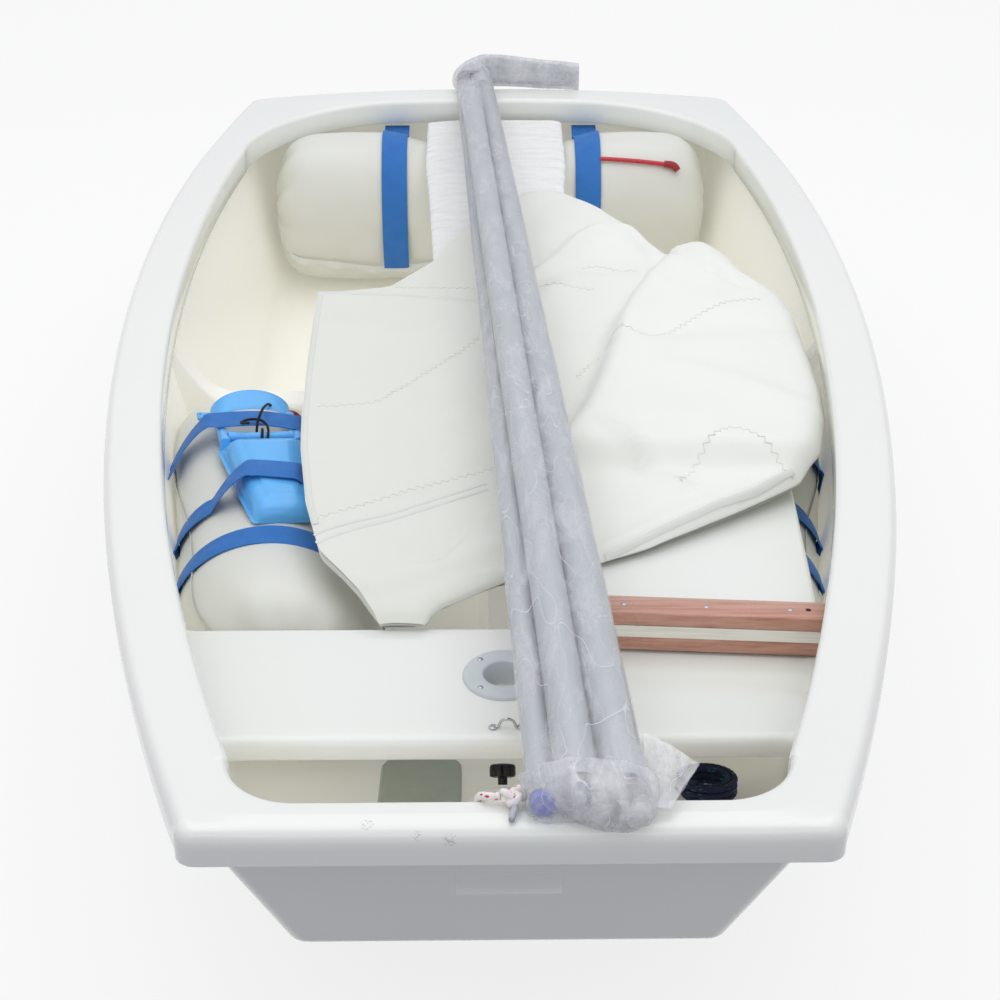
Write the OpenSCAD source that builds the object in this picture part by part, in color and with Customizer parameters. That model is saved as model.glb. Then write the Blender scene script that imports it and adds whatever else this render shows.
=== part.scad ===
// Small pram sailing dinghy, moulded in glass-reinforced plastic.
// Its sail, spars, board, rudder and bailer lie loose inside.
// Bow at -Y, stern at +Y, +Z up, keel line on X = 0, standing on its bottom.

/* [Hull] */
// Length over the rim
loa = 2340; // [2100:10:2600]
// Rim half breadth at the bow corners
rim_bow = 312; // [270:2:360]
// Rim half breadth a quarter of the way aft
rim_quarter = 486; // [430:2:540]
// Rim half breadth amidships
rim_mid = 570; // [510:2:630]
// Rim half breadth three quarters of the way aft
rim_aft = 576; // [510:2:640]
// Rim half breadth at the stern corners
rim_stern = 490; // [430:2:550]
// Rim height above the floor at the bow
bow_h = 460; // [400:5:520]
// Rim height above the floor amidships
mid_h = 428; // [370:2:480]
// Rim height above the floor at the stern corners
stern_h = 418; // [370:2:480]
// Extra rim height at the middle of the stern
stern_crown = 22; // [0:1:40]
// Rise of the bottom at the bow transom
bow_rise = 196; // [150:2:240]
// Rise of the bottom at the stern transom
stern_rise = 100; // [60:2:140]
// Thickness of the side and transom laminate
skin = 7; // [4:1:12]
// Thickness of the bottom laminate
bottom_t = 9; // [6:1:14]

/* [Rim] */
// Width of the rim along the sides and stern
rim_w = 78; // [60:1:95]
// Width of the rim across the bow
rim_bow_w = 52; // [40:1:80]
// Depth of the turned-down outer lip
lip_out = 40; // [20:1:60]
// Depth of the turned-down inner lip
lip_in = 46; // [20:1:60]
// Laminate thickness of the rim
rim_t = 6; // [4:1:9]

/* [Mast thwart] */
// Height of the thwart top above the floor
thwart_z = 339; // [300:1:380]
// Distance of the thwart front edge from the bow
thwart_y0 = 290; // [250:5:330]
// Distance of the thwart rear edge from the bow
thwart_y1 = 514; // [470:2:560]
// Depth of the thwart's turned-down edges
thwart_lip = 26; // [15:1:40]
// Mast collar outside diameter
collar_d = 98; // [80:1:120]
// Mast collar bore
collar_bore = 48; // [40:0.5:60]
// Mast centre distance from the bow
mast_y = 412; // [380:2:440]

/* [Centre structure] */
// Midship frame front face distance from the bow
frame_y = 1268; // [1200:4:1340]
// Midship frame thickness
frame_t = 58; // [40:1:80]
// Midship frame top height
frame_z = 255; // [220:1:290]
// Daggerboard slot length
slot_l = 330; // [300:2:360]
// Daggerboard slot width
slot_w = 17; // [15:0.5:24]
// Daggerboard case top height
case_z = 282; // [250:1:300]

/* [Gear] */
// Side buoyancy bag diameter
bag_d = 288; // [240:2:300]
// How far each side bag is pressed flat against the hull side
bag_press = 28; // [10:1:40]
// Stern buoyancy bag depth front to back
stern_bag_d = 228; // [200:2:240]
// Stern buoyancy bag height
stern_bag_h = 304; // [260:2:330]
// Width of the bag webbing
web_w = 40; // [25:1:50]
// Mast diameter
mast_d = 45; // [40:1:50]
// Mast length
mast_l = 2300; // [2200:10:2400]
// Boom diameter
boom_d = 40; // [34:1:46]
// Boom length
boom_l = 2060; // [1900:10:2150]
// Sprit diameter
sprit_d = 28; // [22:1:32]
// Sprit length
sprit_l = 2240; // [2100:10:2300]
// Daggerboard length
board_l = 1060; // [900:5:1100]
// Daggerboard width
board_w = 284; // [250:2:300]
// Daggerboard thickness
board_t = 15; // [12:0.5:16]
// Painter diameter
rope_d = 8; // [6:0.5:10]

/* [Hidden] */
n_st = 40;
overhang = 30;
rake_top = 30;
rake_foot = 126;
stern_foot = 2286 - 2340;
tail_t = 25;
y_mid = (loa + 1 + tail_t) / 2;
y_low = 1240 * loa / 2340;
flat_y = 110;
bevel = 12;
white = [0.92, 0.93, 0.89];
bagwhite = [0.86, 0.88, 0.84];
blue = [0.1, 0.18, 0.62];
steel = [0.75, 0.76, 0.78];
dark = [0.1, 0.1, 0.11];
wood = [0.42, 0.16, 0.09];
grey = [0.55, 0.58, 0.6];
film = [0.7, 0.74, 0.78, 0.5];
red = [0.75, 0.1, 0.08];

// ---- curves -------------------------------------------------------------

// Smooth curve through five evenly spaced values, t from 0 to 1
function five(v, t) = let (u = 4 * t)
  v[0] * (u - 1) * (u - 2) * (u - 3) * (u - 4) / 24
  - v[1] * u * (u - 2) * (u - 3) * (u - 4) / 6
  + v[2] * u * (u - 1) * (u - 3) * (u - 4) / 4
  - v[3] * u * (u - 1) * (u - 2) * (u - 4) / 6
  + v[4] * u * (u - 1) * (u - 2) * (u - 3) / 24;

// Half breadth over the rim
function rim_x(y) = five([rim_bow, rim_quarter, rim_mid, rim_aft, rim_stern], y / loa);

// Half breadth of the bottom edge
function chine_x(y) = five([
  rim_bow - 150, rim_quarter - 112, rim_mid - 122, rim_aft - 122, rim_stern - 68
], y / loa);

// Height of the rim top along the side
function sheer(y) = let (t = 2 * y / loa - 1)
  mid_h + ((bow_h + stern_h) / 2 - mid_h) * t * t + (stern_h - bow_h) / 2 * t;

// Height of the rim top anywhere, with the crown of the stern
function rim_z(x, y) = let (k = max(0, (y - loa + 420) / 420))
  sheer(y) + stern_crown * (1 - pow(x / rim_stern, 2)) * k * k * (3 - 2 * k);

// Height of the outside of the bottom, flat for a short way where it stands
function keel(y) = y < y_low - flat_y
  ? bow_rise * pow((y_low - flat_y - y) / (y_low - flat_y - rake_foot), 2)
  : y > y_low + flat_y
    ? stern_rise * pow((y - y_low - flat_y) / (loa + stern_foot - y_low - flat_y), 2)
    : 0;

function mix(a, b, t) = a + (b - a) * t;

// Top and foot of the side panel's outer face at station s, from 0 to 1
top_y0 = rake_top + skin;
top_y1 = loa - overhang - skin;
foot_y0 = rake_foot + skin;
foot_y1 = loa + stern_foot - skin;
function top_y(s) = mix(top_y0, top_y1, s);
function foot_y(s) = mix(foot_y0, foot_y1, s);
function top_pt(s) = let (y = top_y(s)) [rim_x(y) - overhang, y, sheer(y) - rim_t - 1.2];
function foot_pt(s) = let (y = foot_y(s)) [chine_x(y), y, keel(y) + bottom_t];

// Inner half breadth of the hull at a given distance aft and height
function side_s(y, f) = (y - mix(foot_y0, top_y0, f)) / mix(foot_y1 - foot_y0, top_y1 - top_y0, f);
function side_f(y, z, f, n) = n == 0 ? f
  : let (s = side_s(y, f), a = foot_pt(s)[2], b = top_pt(s)[2])
    side_f(y, z, (z - a) / (b - a), n - 1);
function hull_x(y, z) = let (f = side_f(y, z, 0.5, 5), s = side_s(y, f))
  mix(foot_pt(s)[0], top_pt(s)[0], f) - skin - 0.8;
function floor_z(y) = keel(y) + bottom_t;

// ---- solids from rings --------------------------------------------------

// Solid through a list of rings; a ring may run either way round.
// The end caps are strips from the ring's first half to its second half.
function vsum(v, i = 0) = i == len(v) - 1 ? v[i] : v[i] + vsum(v, i + 1);
function centre(ring) = vsum(ring) / len(ring);
function turn(ring, c) = vsum([for (j = [0:len(ring) - 1])
  cross(ring[j] - c, ring[(j + 1) % len(ring)] - c)]);
function reversed(v) = [for (i = [len(v) - 1:-1:0]) v[i]];
module skin_of(rings, loop = false) {
  c0 = centre(rings[0]);
  c1 = centre(rings[1]);
  r = turn(rings[0], c0) * (c1 - c0) < 0 ? [for (g = rings) reversed(g)] : rings;
  n = len(r[0]);
  m = len(r);
  last = loop ? m - 1 : m - 2;
  sides = [for (i = [0:last], j = [0:n - 1]) let (
    a = i * n + j,
    b = i * n + (j + 1) % n,
    c = ((i + 1) % m) * n + (j + 1) % n,
    d = ((i + 1) % m) * n + j
  ) each [[a, d, c], [a, c, b]]];
  cap = concat(
    [for (j = [0:floor(n / 2) - 2]) each [[j, j + 1, n - 1 - j], [j + 1, n - 2 - j, n - 1 - j]]],
    n % 2 == 1 ? [[(n - 3) / 2, (n - 1) / 2, (n + 1) / 2]] : []
  );
  e = (m - 1) * n;
  cap0 = cap;
  cap1 = [for (f = cap) [e + f[2], e + f[1], e + f[0]]];
  polyhedron(
    points = [for (ring = r) each ring],
    faces = loop ? sides : concat(sides, cap0, cap1),
    convexity = 8
  );
}

module mirror_x() {
  children();
  mirror([1, 0, 0]) children();
}

module at_bow() {
  translate([0, -y_mid, 0]) children();
}

// Round tube of n sides along a list of points
function unit(v) = v / norm(v);
function tangent(p, i) = unit(i == 0 ? p[1] - p[0]
  : i == len(p) - 1 ? p[i] - p[i - 1]
  : unit(p[i + 1] - p[i]) + unit(p[i] - p[i - 1]));
function side_dir(t, up) = unit(cross(up, t));
function tube_ring(p, i, r, n, up) = let (
  t = tangent(p, i), a = side_dir(t, up), b = cross(t, a)
) [for (j = [0:n - 1]) p[i] + r * (cos(360 * j / n) * a + sin(360 * j / n) * b)];
module tube(p, r, n = 8, up = [0, 0, 1]) {
  skin_of([for (i = [0:len(p) - 1]) tube_ring(p, i, r, n, up)]);
}

// Smooth route through hand-set points, k steps to each leg
function route(p, k) = [for (i = [0:len(p) - 2], j = [0:k - 1])
  let (
    a = p[max(0, i - 1)], b = p[i], c = p[i + 1], d = p[min(len(p) - 1, i + 2)], t = j / k
  ) 0.5 * (2 * b + (c - a) * t + (2 * a - 5 * b + 4 * c - d) * t * t
    + (3 * b - a - 3 * c + d) * t * t * t)];

// ---- hull shell ---------------------------------------------------------

module side_panel() {
  at_bow() skin_of([for (i = [0:n_st]) let (
    s = mix(0.0001, 0.9999, i / n_st),
    a = foot_pt(s) + [0, 0, 0.2],
    b = top_pt(s)
  ) [
    a,
    a - [skin, 0, 0],
    mix(a, b, 0.5) - [skin, 0, 0],
    b - [skin, 0, 0],
    b,
    mix(a, b, 0.5)
  ]]);
}

module side_starboard() {
  color(white) mirror([1, 0, 0]) side_panel();
}

module side_port() {
  color(white) side_panel();
}

slot_y0 = frame_y - 12 - slot_l;

module bottom_panel() {
  color(white) at_bow() difference() {
    skin_of([for (i = [0:n_st]) let (
      y = foot_y(i / n_st), x = chine_x(y), z = keel(y)
    ) [
      [-x, y, z + bottom_t],
      [-x, y, z],
      [x, y, z],
      [x, y, z + bottom_t]
    ]]);
    translate([-slot_w / 2, slot_y0, -5]) cube([slot_w, slot_l, 60]);
  }
}

module transom_bow() {
  a = chine_x(rake_foot);
  a1 = chine_x(foot_y0);
  b = rim_x(rake_top) - overhang;
  b1 = rim_x(top_y0) - overhang;
  z0 = keel(rake_foot);
  z1 = keel(foot_y0);
  t0 = sheer(rake_top) - rim_t - 0.9;
  t1 = sheer(top_y0) - rim_t - 0.9;
  color(white) at_bow() skin_of([
    [[b, rake_top, t0], [-b, rake_top, t0], [-a, rake_foot, z0], [a, rake_foot, z0]],
    [[b1, top_y0, t1], [-b1, top_y0, t1], [-a1, foot_y0, z1], [a1, foot_y0, z1]]
  ]);
}

module transom_stern() {
  n = 12;
  function at_plane(z, y0, y1, z0, z1) = mix(y0, y1, (z - z0) / (z1 - z0));
  function face(yf, yt) = let (
    xb = rim_x(yt) - overhang, xa = chine_x(yf), z0 = keel(yf), z1 = sheer(yt) - rim_t
  ) concat(
    [for (k = [0:n]) let (
      x = xb * (1 - 2 * k / n), z = rim_z(x, yt) - rim_t - (rim_z(xb, yt) - sheer(yt))
    ) [x, at_plane(z, yf, yt, z0, z1), z]],
    [[-xa, yf, z0], [xa, yf, z0]]
  );
  color(white) at_bow() skin_of([
    face(foot_y1, top_y1),
    face(loa + stern_foot, loa - overhang)
  ]);
}

// ---- rim ----------------------------------------------------------------

r_bow = 22;
r_stern = 14;
in_bow_r = 74;
in_side_y = 2010;
in_stern_x = 190;

function arc_pt(cx, cy, rx, ry, a) = [cx + rx * cos(a), cy + ry * sin(a)];

// Outer edge from the middle of the bow to the middle of the stern, port side
rim_outer = concat(
  [for (i = [0:4]) [200 * i / 5, 0]],
  [for (i = [0:4]) [200 + (rim_bow - r_bow - 200) * i / 5, 0]],
  [for (i = [0:4]) arc_pt(rim_x(r_bow) - r_bow, r_bow, r_bow, r_bow, -90 + 22.5 * i)],
  [for (i = [1:4]) let (y = r_bow + 100 * i / 5) [rim_x(y), y]],
  [for (i = [0:26]) let (y = mix(r_bow + 100, 2080, i / 26)) [rim_x(y), y]],
  [for (i = [1:9]) let (y = mix(2080, loa - r_stern, i / 9)) [rim_x(y), y]],
  [for (i = [1:4]) arc_pt(rim_stern - r_stern, loa - r_stern, r_stern, r_stern, 15 + 18.75 * i)],
  [for (i = [1:9]) [mix(rim_stern - r_stern, 240, i / 9), loa]],
  [for (i = [1:5]) [240 * (1 - i / 5), loa]]
);

// Inner edge, matched point for point
in_bow_x = rim_x(rim_bow_w + in_bow_r) - rim_w;
in_x = rim_x(in_side_y) - rim_w;
in_stern_y = loa - rim_w;
rim_inner = concat(
  [for (i = [0:4]) [200 * i / 5, rim_bow_w]],
  [for (i = [0:13]) arc_pt(in_bow_x - in_bow_r, rim_bow_w + in_bow_r, in_bow_r, in_bow_r,
    -90 + 90 * i / 14)],
  [for (i = [0:26]) let (y = mix(rim_bow_w + in_bow_r, in_side_y, i / 26)) [rim_x(y) - rim_w, y]],
  [for (i = [1:22]) arc_pt(in_stern_x, in_side_y, in_x - in_stern_x, in_stern_y - in_side_y,
    90 * pow(i / 22, 1.1))],
  [for (i = [1:5]) [in_stern_x * (1 - i / 5), in_stern_y]]
);

// Channel section between an outer and an inner point: distance in from the
// outer or the inner edge, and height under the rim top
function rim_ring(o, i) = let (
  w = norm(i - o), d = (i - o) / w, t = rim_t,
  zo = rim_z(o[0], o[1]), zi = rim_z(i[0], i[1]),
  lip = mix(18, lip_in, smooth(rim_bow_w, rim_bow_w + 60, i[1])),
  at = function (s, h) let (p = o + d * s) [p[0], p[1], mix(zo, zi, s / w) - h]
) [
  at(0, lip_out),
  at(0, bevel),
  at(0.3 * bevel, 0.3 * bevel),
  at(bevel, 0),
  at(w - bevel, 0),
  at(w - 0.3 * bevel, 0.3 * bevel),
  at(w, bevel),
  at(w, lip),
  at(w - t, lip),
  at(w - t, bevel),
  at(w - bevel, t),
  at(bevel, t),
  at(t, bevel),
  at(t, lip_out)
];

module rim() {
  port = [for (i = [0:len(rim_outer) - 1]) rim_ring(rim_outer[i], rim_inner[i])];
  m = len(port);
  star = [for (i = [m - 2:-1:1]) [for (p = port[i]) [-p[0], p[1], p[2]]]];
  color(white) at_bow() skin_of(concat(port, star), loop = true);
}

// ---- thwart, frame, case and fittings -----------------------------------

// Beam right across the hull from an outline of [distance aft, height]
module across(outline) {
  skin_of([
    [for (p = outline) [-hull_x(p[0], p[1]), p[0], p[1]]],
    [for (p = outline) [hull_x(p[0], p[1]), p[0], p[1]]]
  ]);
}

module mast_thwart() {
  t = 7;
  z = thwart_z;
  b = thwart_z - thwart_lip;
  y0 = thwart_y0;
  y1 = thwart_y1;
  color(white) at_bow() difference() {
    across([
      [y0, b], [y0, z - 8], [y0 + 3, z - 3], [y0 + 10, z],
      [y1 - 7, z], [y1 - 2, z - 2], [y1, z - 7], [y1, b],
      [y1 - t, b], [y1 - t, z - t - 3], [y1 - t - 2, z - t - 1], [y1 - t - 5, z - t],
      [y0 + t + 5, z - t], [y0 + t + 2, z - t - 1], [y0 + t, z - t - 4], [y0 + t, b]
    ]);
    translate([0, mast_y, z - 20]) cylinder(d = 66, h = 40);
  }
}

module mast_collar() {
  color(grey) at_bow() translate([0, mast_y, thwart_z])
    difference() {
      union() {
        cylinder(d1 = collar_d, d2 = collar_d - 5, h = 4);
        translate([0, 0, -30]) cylinder(d = 65.4, h = 30);
      }
      translate([0, 0, -40]) cylinder(d = collar_bore, h = 60);
    }
}

module collar_screws() {
  color(steel) at_bow() translate([0, mast_y, thwart_z + 4])
    for (a = [45:90:315]) rotate(a) translate([39, 0, 0]) cylinder(d1 = 7, d2 = 5, h = 1.4);
}

module saddle_eye() {
  color(steel) at_bow() translate([2, 314, thwart_z]) {
    for (x = [-15, 15]) translate([x, 0, 0]) cylinder(d = 10, h = 2);
    translate([0, 0, 1.2]) rotate([90, 0, 0])
      rotate_extrude(angle = 180) translate([9.5, 0]) circle(d = 3.6);
    for (x = [-12, 12]) translate([x - 3, -1.8, 0]) cube([6, 3.6, 2]);
  }
}

step_z = floor_z(mast_y);
step_top = step_z + 34;
module mast_step() {
  color(white) at_bow() difference() {
    hull() {
      translate([0, mast_y - 2, floor_z(mast_y + 30) + 1]) cylinder(d = 96, h = 1);
      translate([0, mast_y + 40, floor_z(mast_y + 70) - 0.2]) cylinder(d = 70, h = 1);
      translate([0, mast_y, step_top - 1]) cylinder(d = 76, h = 1);
      translate([0, mast_y + 30, step_top - 12]) cylinder(d = 50, h = 1);
    }
    translate([0, mast_y, step_top - 22]) cylinder(d = collar_bore, h = 60);
    floor_cut(mast_y - 80, mast_y + 120);
  }
}

// Everything below the floor surface between two distances aft
module floor_cut(y0, y1) {
  n = 8;
  skin_of([for (k = [-1, 1]) [
    for (i = [0:n]) let (y = mix(y0, y1, i / n)) [k * 300, y, floor_z(y) + 0.3],
    [k * 300, y1, -60],
    [k * 300, y0, -60]
  ]]);
}

module step_knob() {
  color(dark) at_bow() translate([0, mast_y + 61, step_top - 4.6]) rotate([-42, 0, 0]) {
    difference() {
      cylinder(d = 34, h = 15);
      for (a = [0:45:315]) rotate(a) translate([19, 0, -1]) cylinder(d = 9, h = 20);
    }
    translate([0, 0, -9]) cylinder(d = 12, h = 9);
  }
}

module midship_frame() {
  z = frame_z;
  y0 = frame_y;
  y1 = frame_y + frame_t;
  f = floor_z(y1) + 0.2;
  color(white) at_bow() {
    difference() {
      across([[y0, f], [y1, f], [y1, z - 14], [y1 - 5, z - 4], [y1 - 14, z], [y0 + 14, z],
        [y0 + 5, z - 4], [y0, z - 14]]);
      translate([-380, y0 + 7, 20]) cube([760, frame_t - 14, z - 30]);
      for (x = [-330, -110, 110, 330])
        translate([x - 34, y0 - 5, 14]) cube([68, frame_t + 10, 26]);
    }
    // knees running up the sides to the rim
    for (k = [-1, 1]) skin_of([
      for (q = [0:6]) let (h = mix(z, sheer(y0) - lip_in - 6, q / 6), w = mix(100, 34, sqrt(q / 6)),
        ya = y0 + frame_t / 2 - mix(frame_t / 2, 14, q / 6), yb = y0 + frame_t / 2 + mix(frame_t / 2, 14, q / 6))
      [
        [k * hull_x(ya, h), ya, h],
        [k * hull_x(yb, h), yb, h],
        [k * (hull_x(yb, h) - w), yb - 4, h],
        [k * (hull_x(ya, h) - w), ya + 4, h]
      ]
    ]);
  }
}

module board_case() {
  w = slot_w / 2;
  t = 6;
  y0 = slot_y0 - t;
  y1 = frame_y - 0.3;
  f = floor_z(slot_y0) + 0.3;
  color(white) at_bow() difference() {
    union() {
      translate([-w - t, y0, 0]) cube([2 * (w + t), y1 - y0, case_z - 10]);
      translate([-w - t - 9, y0 - 6, case_z - 10]) cube([2 * (w + t + 9), y1 - y0 + 6, 10]);
      translate([-w - t - 14, y0 - 8, 0]) cube([2 * (w + t + 14), y1 - y0 + 8, f + 14]);
    }
    translate([-w, slot_y0, -5]) cube([slot_w, slot_l, 400]);
    floor_cut(y0 - 60, y1 + 10);
  }
}

// Bores in line with each other and parallel to the raked stern
transom_rake = atan((-overhang - stern_foot) / (stern_h - rim_t - stern_rise));
gudgeon_hs = [88, 250];
module rudder_gudgeons() {
  color(steel) at_bow() translate([0, loa + stern_foot, stern_rise])
    rotate([-transom_rake, 0, 0]) for (h = gudgeon_hs) translate([0, 0, h]) difference() {
      union() {
        translate([-9, 4, -10]) cube([18, 26, 20]);
        translate([0, 30, -10]) cylinder(d = 18, h = 20);
        translate([-26, 0.3, -14]) cube([52, 4, 28]);
      }
      translate([0, 30, -20]) cylinder(d = 8.2, h = 40);
    }
}

// ---- buoyancy bags and webbing ------------------------------------------

bag_y0 = thwart_y1 + 34;
bag_y1 = frame_y - 5;
bag_r = bag_d / 2;
bag_n = 24;
function bag_full(y) = let (u = 2 * (y - bag_y0) / (bag_y1 - bag_y0) - 1)
  max(0.2, pow(max(0, 1 - pow(abs(u), 7)), 0.42));
function bag_z(y) = floor_z(y) + 0.5 + bag_r;
function bag_x(y) = hull_x(y, bag_z(y)) - 4 - bag_r + bag_press;
// Point on the bag's round at an angle, from outboard over the top, off by o,
// kept inside the hull side
function bag_pt(y, a, o = 0) = let (
  r = bag_r * bag_full(y) + o, z = bag_z(y) + r * sin(a), x = bag_x(y) + r * cos(a)
) [min(x, hull_x(y, z) - 4 + o), y, z];

module side_bag() {
  at_bow() skin_of([for (i = [0:20]) let (
    u = i / 20, y = mix(bag_y0, bag_y1, 0.5 - 0.5 * cos(180 * u))
  ) [for (j = [0:bag_n - 1]) bag_pt(y, 360 * j / bag_n)]]);
}

module bag_port() {
  color(bagwhite) side_bag();
}

module bag_starboard() {
  color(bagwhite) mirror([1, 0, 0]) side_bag();
}

// Stern bag lies across the hull against the stern transom
sb_x0 = -430;
sb_x1 = 404;
sb_y = loa - 174;
sb_z = floor_z(loa - 172) + stern_bag_h / 2 + 0.4;
function sb_full(x) = let (u = (2 * x - sb_x0 - sb_x1) / (sb_x1 - sb_x0))
  max(0.22, pow(max(0, 1 - pow(abs(u), 9)), 0.4));
// The wrapped rudder presses a dent in the top of the stern bag
function dent(x) = 0.17 / (1 + pow(abs((x - 10) / 168), 10));
function sb_pt(x, a, o = 0) = let (f = sb_full(x), g = 1 - dent(x) * max(0, sin(a)))
  [x, sb_y - (stern_bag_d / 2 * f + o) * cos(a), sb_z + (stern_bag_h / 2 * f * g + o) * sin(a)];

module bag_stern() {
  color(bagwhite) at_bow() skin_of([for (i = [0:22]) let (
    x = mix(sb_x0, sb_x1, 0.5 - 0.5 * cos(180 * i / 22))
  ) [for (j = [0:19]) sb_pt(x, 18 * j)]]);
}

module inflation_tube() {
  color(red) at_bow() {
    tube([
      sb_pt(222, 52, 6.8), sb_pt(262, 51, 6.6), sb_pt(310, 49, 6.6), sb_pt(350, 47, 6.8)
    ], 4.5, 10);
    translate(sb_pt(360, 46.6, 8.4)) rotate([0, 90, 0]) cylinder(d = 13, h = 20, center = true);
  }
}

// Flat webbing through pairs of edge points; n is outward thickness
module band(e0, e1, out0, out1) {
  skin_of([for (i = [0:len(e0) - 1]) [e0[i], e1[i], out1[i], out0[i]]]);
}

// Side straps run from the hull side over the bag to the floor. Each row is the
// distance aft at the top, at the hull side and at the floor, then the bridge
// over the bailer: outer x and z, inner x and z, from the bailer's place.
bail_y = 985;
bail_x = bag_x(bail_y) + 0.86;
bail_z = bag_z(bail_y) + bag_r;
side_straps = [
  [752, 762, 716, 0, 0, 0, 0],
  [882, 842, 848, 12, 54.4, -58, 48.4],
  [1082, 1000, 1036, 90, 38.9, -40, 25.9]
];
function strap_y(q, a) = a < 90 ? mix(q[0], q[1], pow((90 - a) / 75, 2))
  : mix(q[0], q[2], pow((a - 90) / 105, 2));
function bridge(q, xs) = let (x = xs - bail_x) bail_z + (x > q[3] ? q[4] - 1.15 * (x - q[3])
  : x > q[5] ? mix(q[6], q[4], (x - q[5]) / (q[3] - q[5])) : q[6] - 0.9 * (q[5] - x));
function strap_pt(q, a, e, o, over) = let (
  y = strap_y(q, a) + e * web_w / 2, p = bag_pt(y, a, 0.6 + o)
) [p[0], y, over && a > 20 && a < 140 ? max(p[2], bridge(q, p[0]) + o) : p[2]];
function strap_edge(q, e, o, over) = concat(
  [for (i = [0:24]) strap_pt(q, 15 + 7.5 * i, e, o, over)],
  [let (p = strap_pt(q, 195, e, o, false)) [p[0] - 12 - o, p[1], floor_z(p[1]) + 10]]
);
module side_strap(q, over) {
  at_bow() band(strap_edge(q, -1, 0, over), strap_edge(q, 1, 0, over),
    strap_edge(q, -1, 2, over), strap_edge(q, 1, 2, over));
}

module straps_port() {
  color(blue) for (q = side_straps) side_strap(q, false);
}

module straps_starboard() {
  color(blue) mirror([1, 0, 0]) for (q = side_straps) side_strap(q, q[3] > 0);
}

strap_xs = [-190, 194];
web_s = 50;
module straps_stern() {
  color(blue) at_bow() for (x = strap_xs) {
    top = [for (o = [2, 4]) for (e = [-1, 1]) concat(
      [[x + e * web_s / 2, loa + stern_foot - 9, sb_z + stern_bag_h / 2 - 20 + o]],
      [for (i = [0:9]) sb_pt(x + e * web_s / 2, 126 - 18 * i, o)]
    )];
    band(top[0], top[1], top[2], top[3]);
  }
}

module strap_anchors() {
  color(blue) at_bow() for (q = side_straps) mirror_x() {
    p = strap_pt(q, 195, 0, 0, false);
    skin_of([for (s = [-24, 24]) let (f = floor_z(p[1] + s)) [
      [p[0] - 28, p[1] + s, f + 0.2],
      [p[0] - 4, p[1] + s, f + 0.2],
      [p[0] - 4, p[1] + s, f + 9],
      [p[0] - 28, p[1] + s, f + 9]
    ]]);
  }
}

// ---- bailer under the starboard webbing ---------------------------------

module bailer_place() {
  at_bow() translate([-bail_x, bail_y, bail_z + 8.5]) rotate([-3.2, 6, 0]) rotate([0, 0, 14])
    children();
}
// Body is an upturned box, open underneath, narrower towards the bow
function bail_ring(y, w, h) = [
  [-w, y, 0], [-w + 9, y, h * 0.72], [-w + 22, y, h], [w - 22, y, h], [w - 9, y, h * 0.72], [w, y, 0]
];
module bailer_scoop() {
  color([0.2, 0.42, 0.85]) bailer_place() difference() {
    skin_of([bail_ring(-182, 42, 20), bail_ring(-175, 47, 30), bail_ring(-4, 60, 38),
      bail_ring(16, 63, 36), bail_ring(32, 62, 24)]);
    translate([0, 0, -0.5]) skin_of([bail_ring(-178, 38, 17), bail_ring(-171, 44, 27),
      bail_ring(-4, 57, 35), bail_ring(14, 60, 33), bail_ring(28, 59, 21)]);
  }
}

module bailer_handle() {
  color([0.2, 0.42, 0.85]) bailer_place() {
    for (k = [-1, 1]) skin_of([for (q = [[32.4, 1, 17], [70, 4, 15], [122, 6, 12]]) let (y = q[0]) [
      [k * 61, y, q[1]], [k * 47, y, q[1]], [k * 47, y, q[1] + q[2]], [k * 61, y, q[1] + q[2]]
    ]]);
    translate([0, 50, 12]) rotate([0, 90, 0]) cylinder(d = 14, h = 96, center = true);
    skin_of([for (i = [0:12]) let (a = 180 * i / 12, c = cos(a), s = sin(a)) [
      [61 * c, 122 + 8 * s, 4 + 34 * s],
      [61 * c, 156 + 8 * s, 4 + 34 * s],
      [57 * c, 156 + 8 * s, 4 + 29 * s],
      [57 * c, 122 + 8 * s, 4 + 29 * s]
    ]]);
    translate([-82, 130, 6]) cube([24, 12, 6]);
  }
}

module bailer_lanyard() {
  color(dark) bailer_place() {
    translate([6, 50, 12]) rotate([0, 90, 0]) rotate_extrude() translate([9.6, 0]) circle(d = 4);
    translate([16, 50, 12]) rotate([0, 90, 0]) rotate_extrude() translate([9.6, 0]) circle(d = 4);
    tube(route([[10.2, 52.6, 22.6], [9, 76, 12], [2, 98, 7], [10, 124, 5], [30, 140, 7]], 4), 2, 6);
  }
}

// ---- daggerboard --------------------------------------------------------

bat_w = 42;
bat_t = 18;
board_tilt = 5.15;
board_turn = 4.2;
module board_place() {
  at_bow() translate([rim_mid - 186, 482, thwart_z + 0.4]) rotate(-board_turn) rotate([-board_tilt, 0, 0])
    translate([-board_w, -bat_w, 0]) children();
}

module daggerboard() {
  w = board_w;
  t = board_t;
  color(white) board_place() translate([0, board_l, bat_t]) rotate([90, 0, 0])
    linear_extrude(board_l) polygon([[7, 0], [w - 7, 0], [w - 4, 4], [w - 4, t - 4], [w - 7, t],
      [7, t], [4, t - 4], [4, 4]]);
}

module board_battens() {
  color(wood) board_place() for (z = [0, bat_t + board_t])
    translate([1, 0, z]) rotate([90, 0, 90]) linear_extrude(board_w - 2)
      polygon([[2, 0], [bat_w - 2, 0], [bat_w, 2], [bat_w, bat_t - 2], [bat_w - 2, bat_t],
        [2, bat_t], [0, bat_t - 2], [0, 2]]);
}

module batten_screws() {
  color(steel) board_place() for (x = [22, 44, 142, 240, 262])
    translate([x, bat_w / 2, 2 * bat_t + board_t]) cylinder(d = 7, h = 0.8);
}

// ---- spars and their sleeve ---------------------------------------------

spar_y0 = 30;
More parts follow.
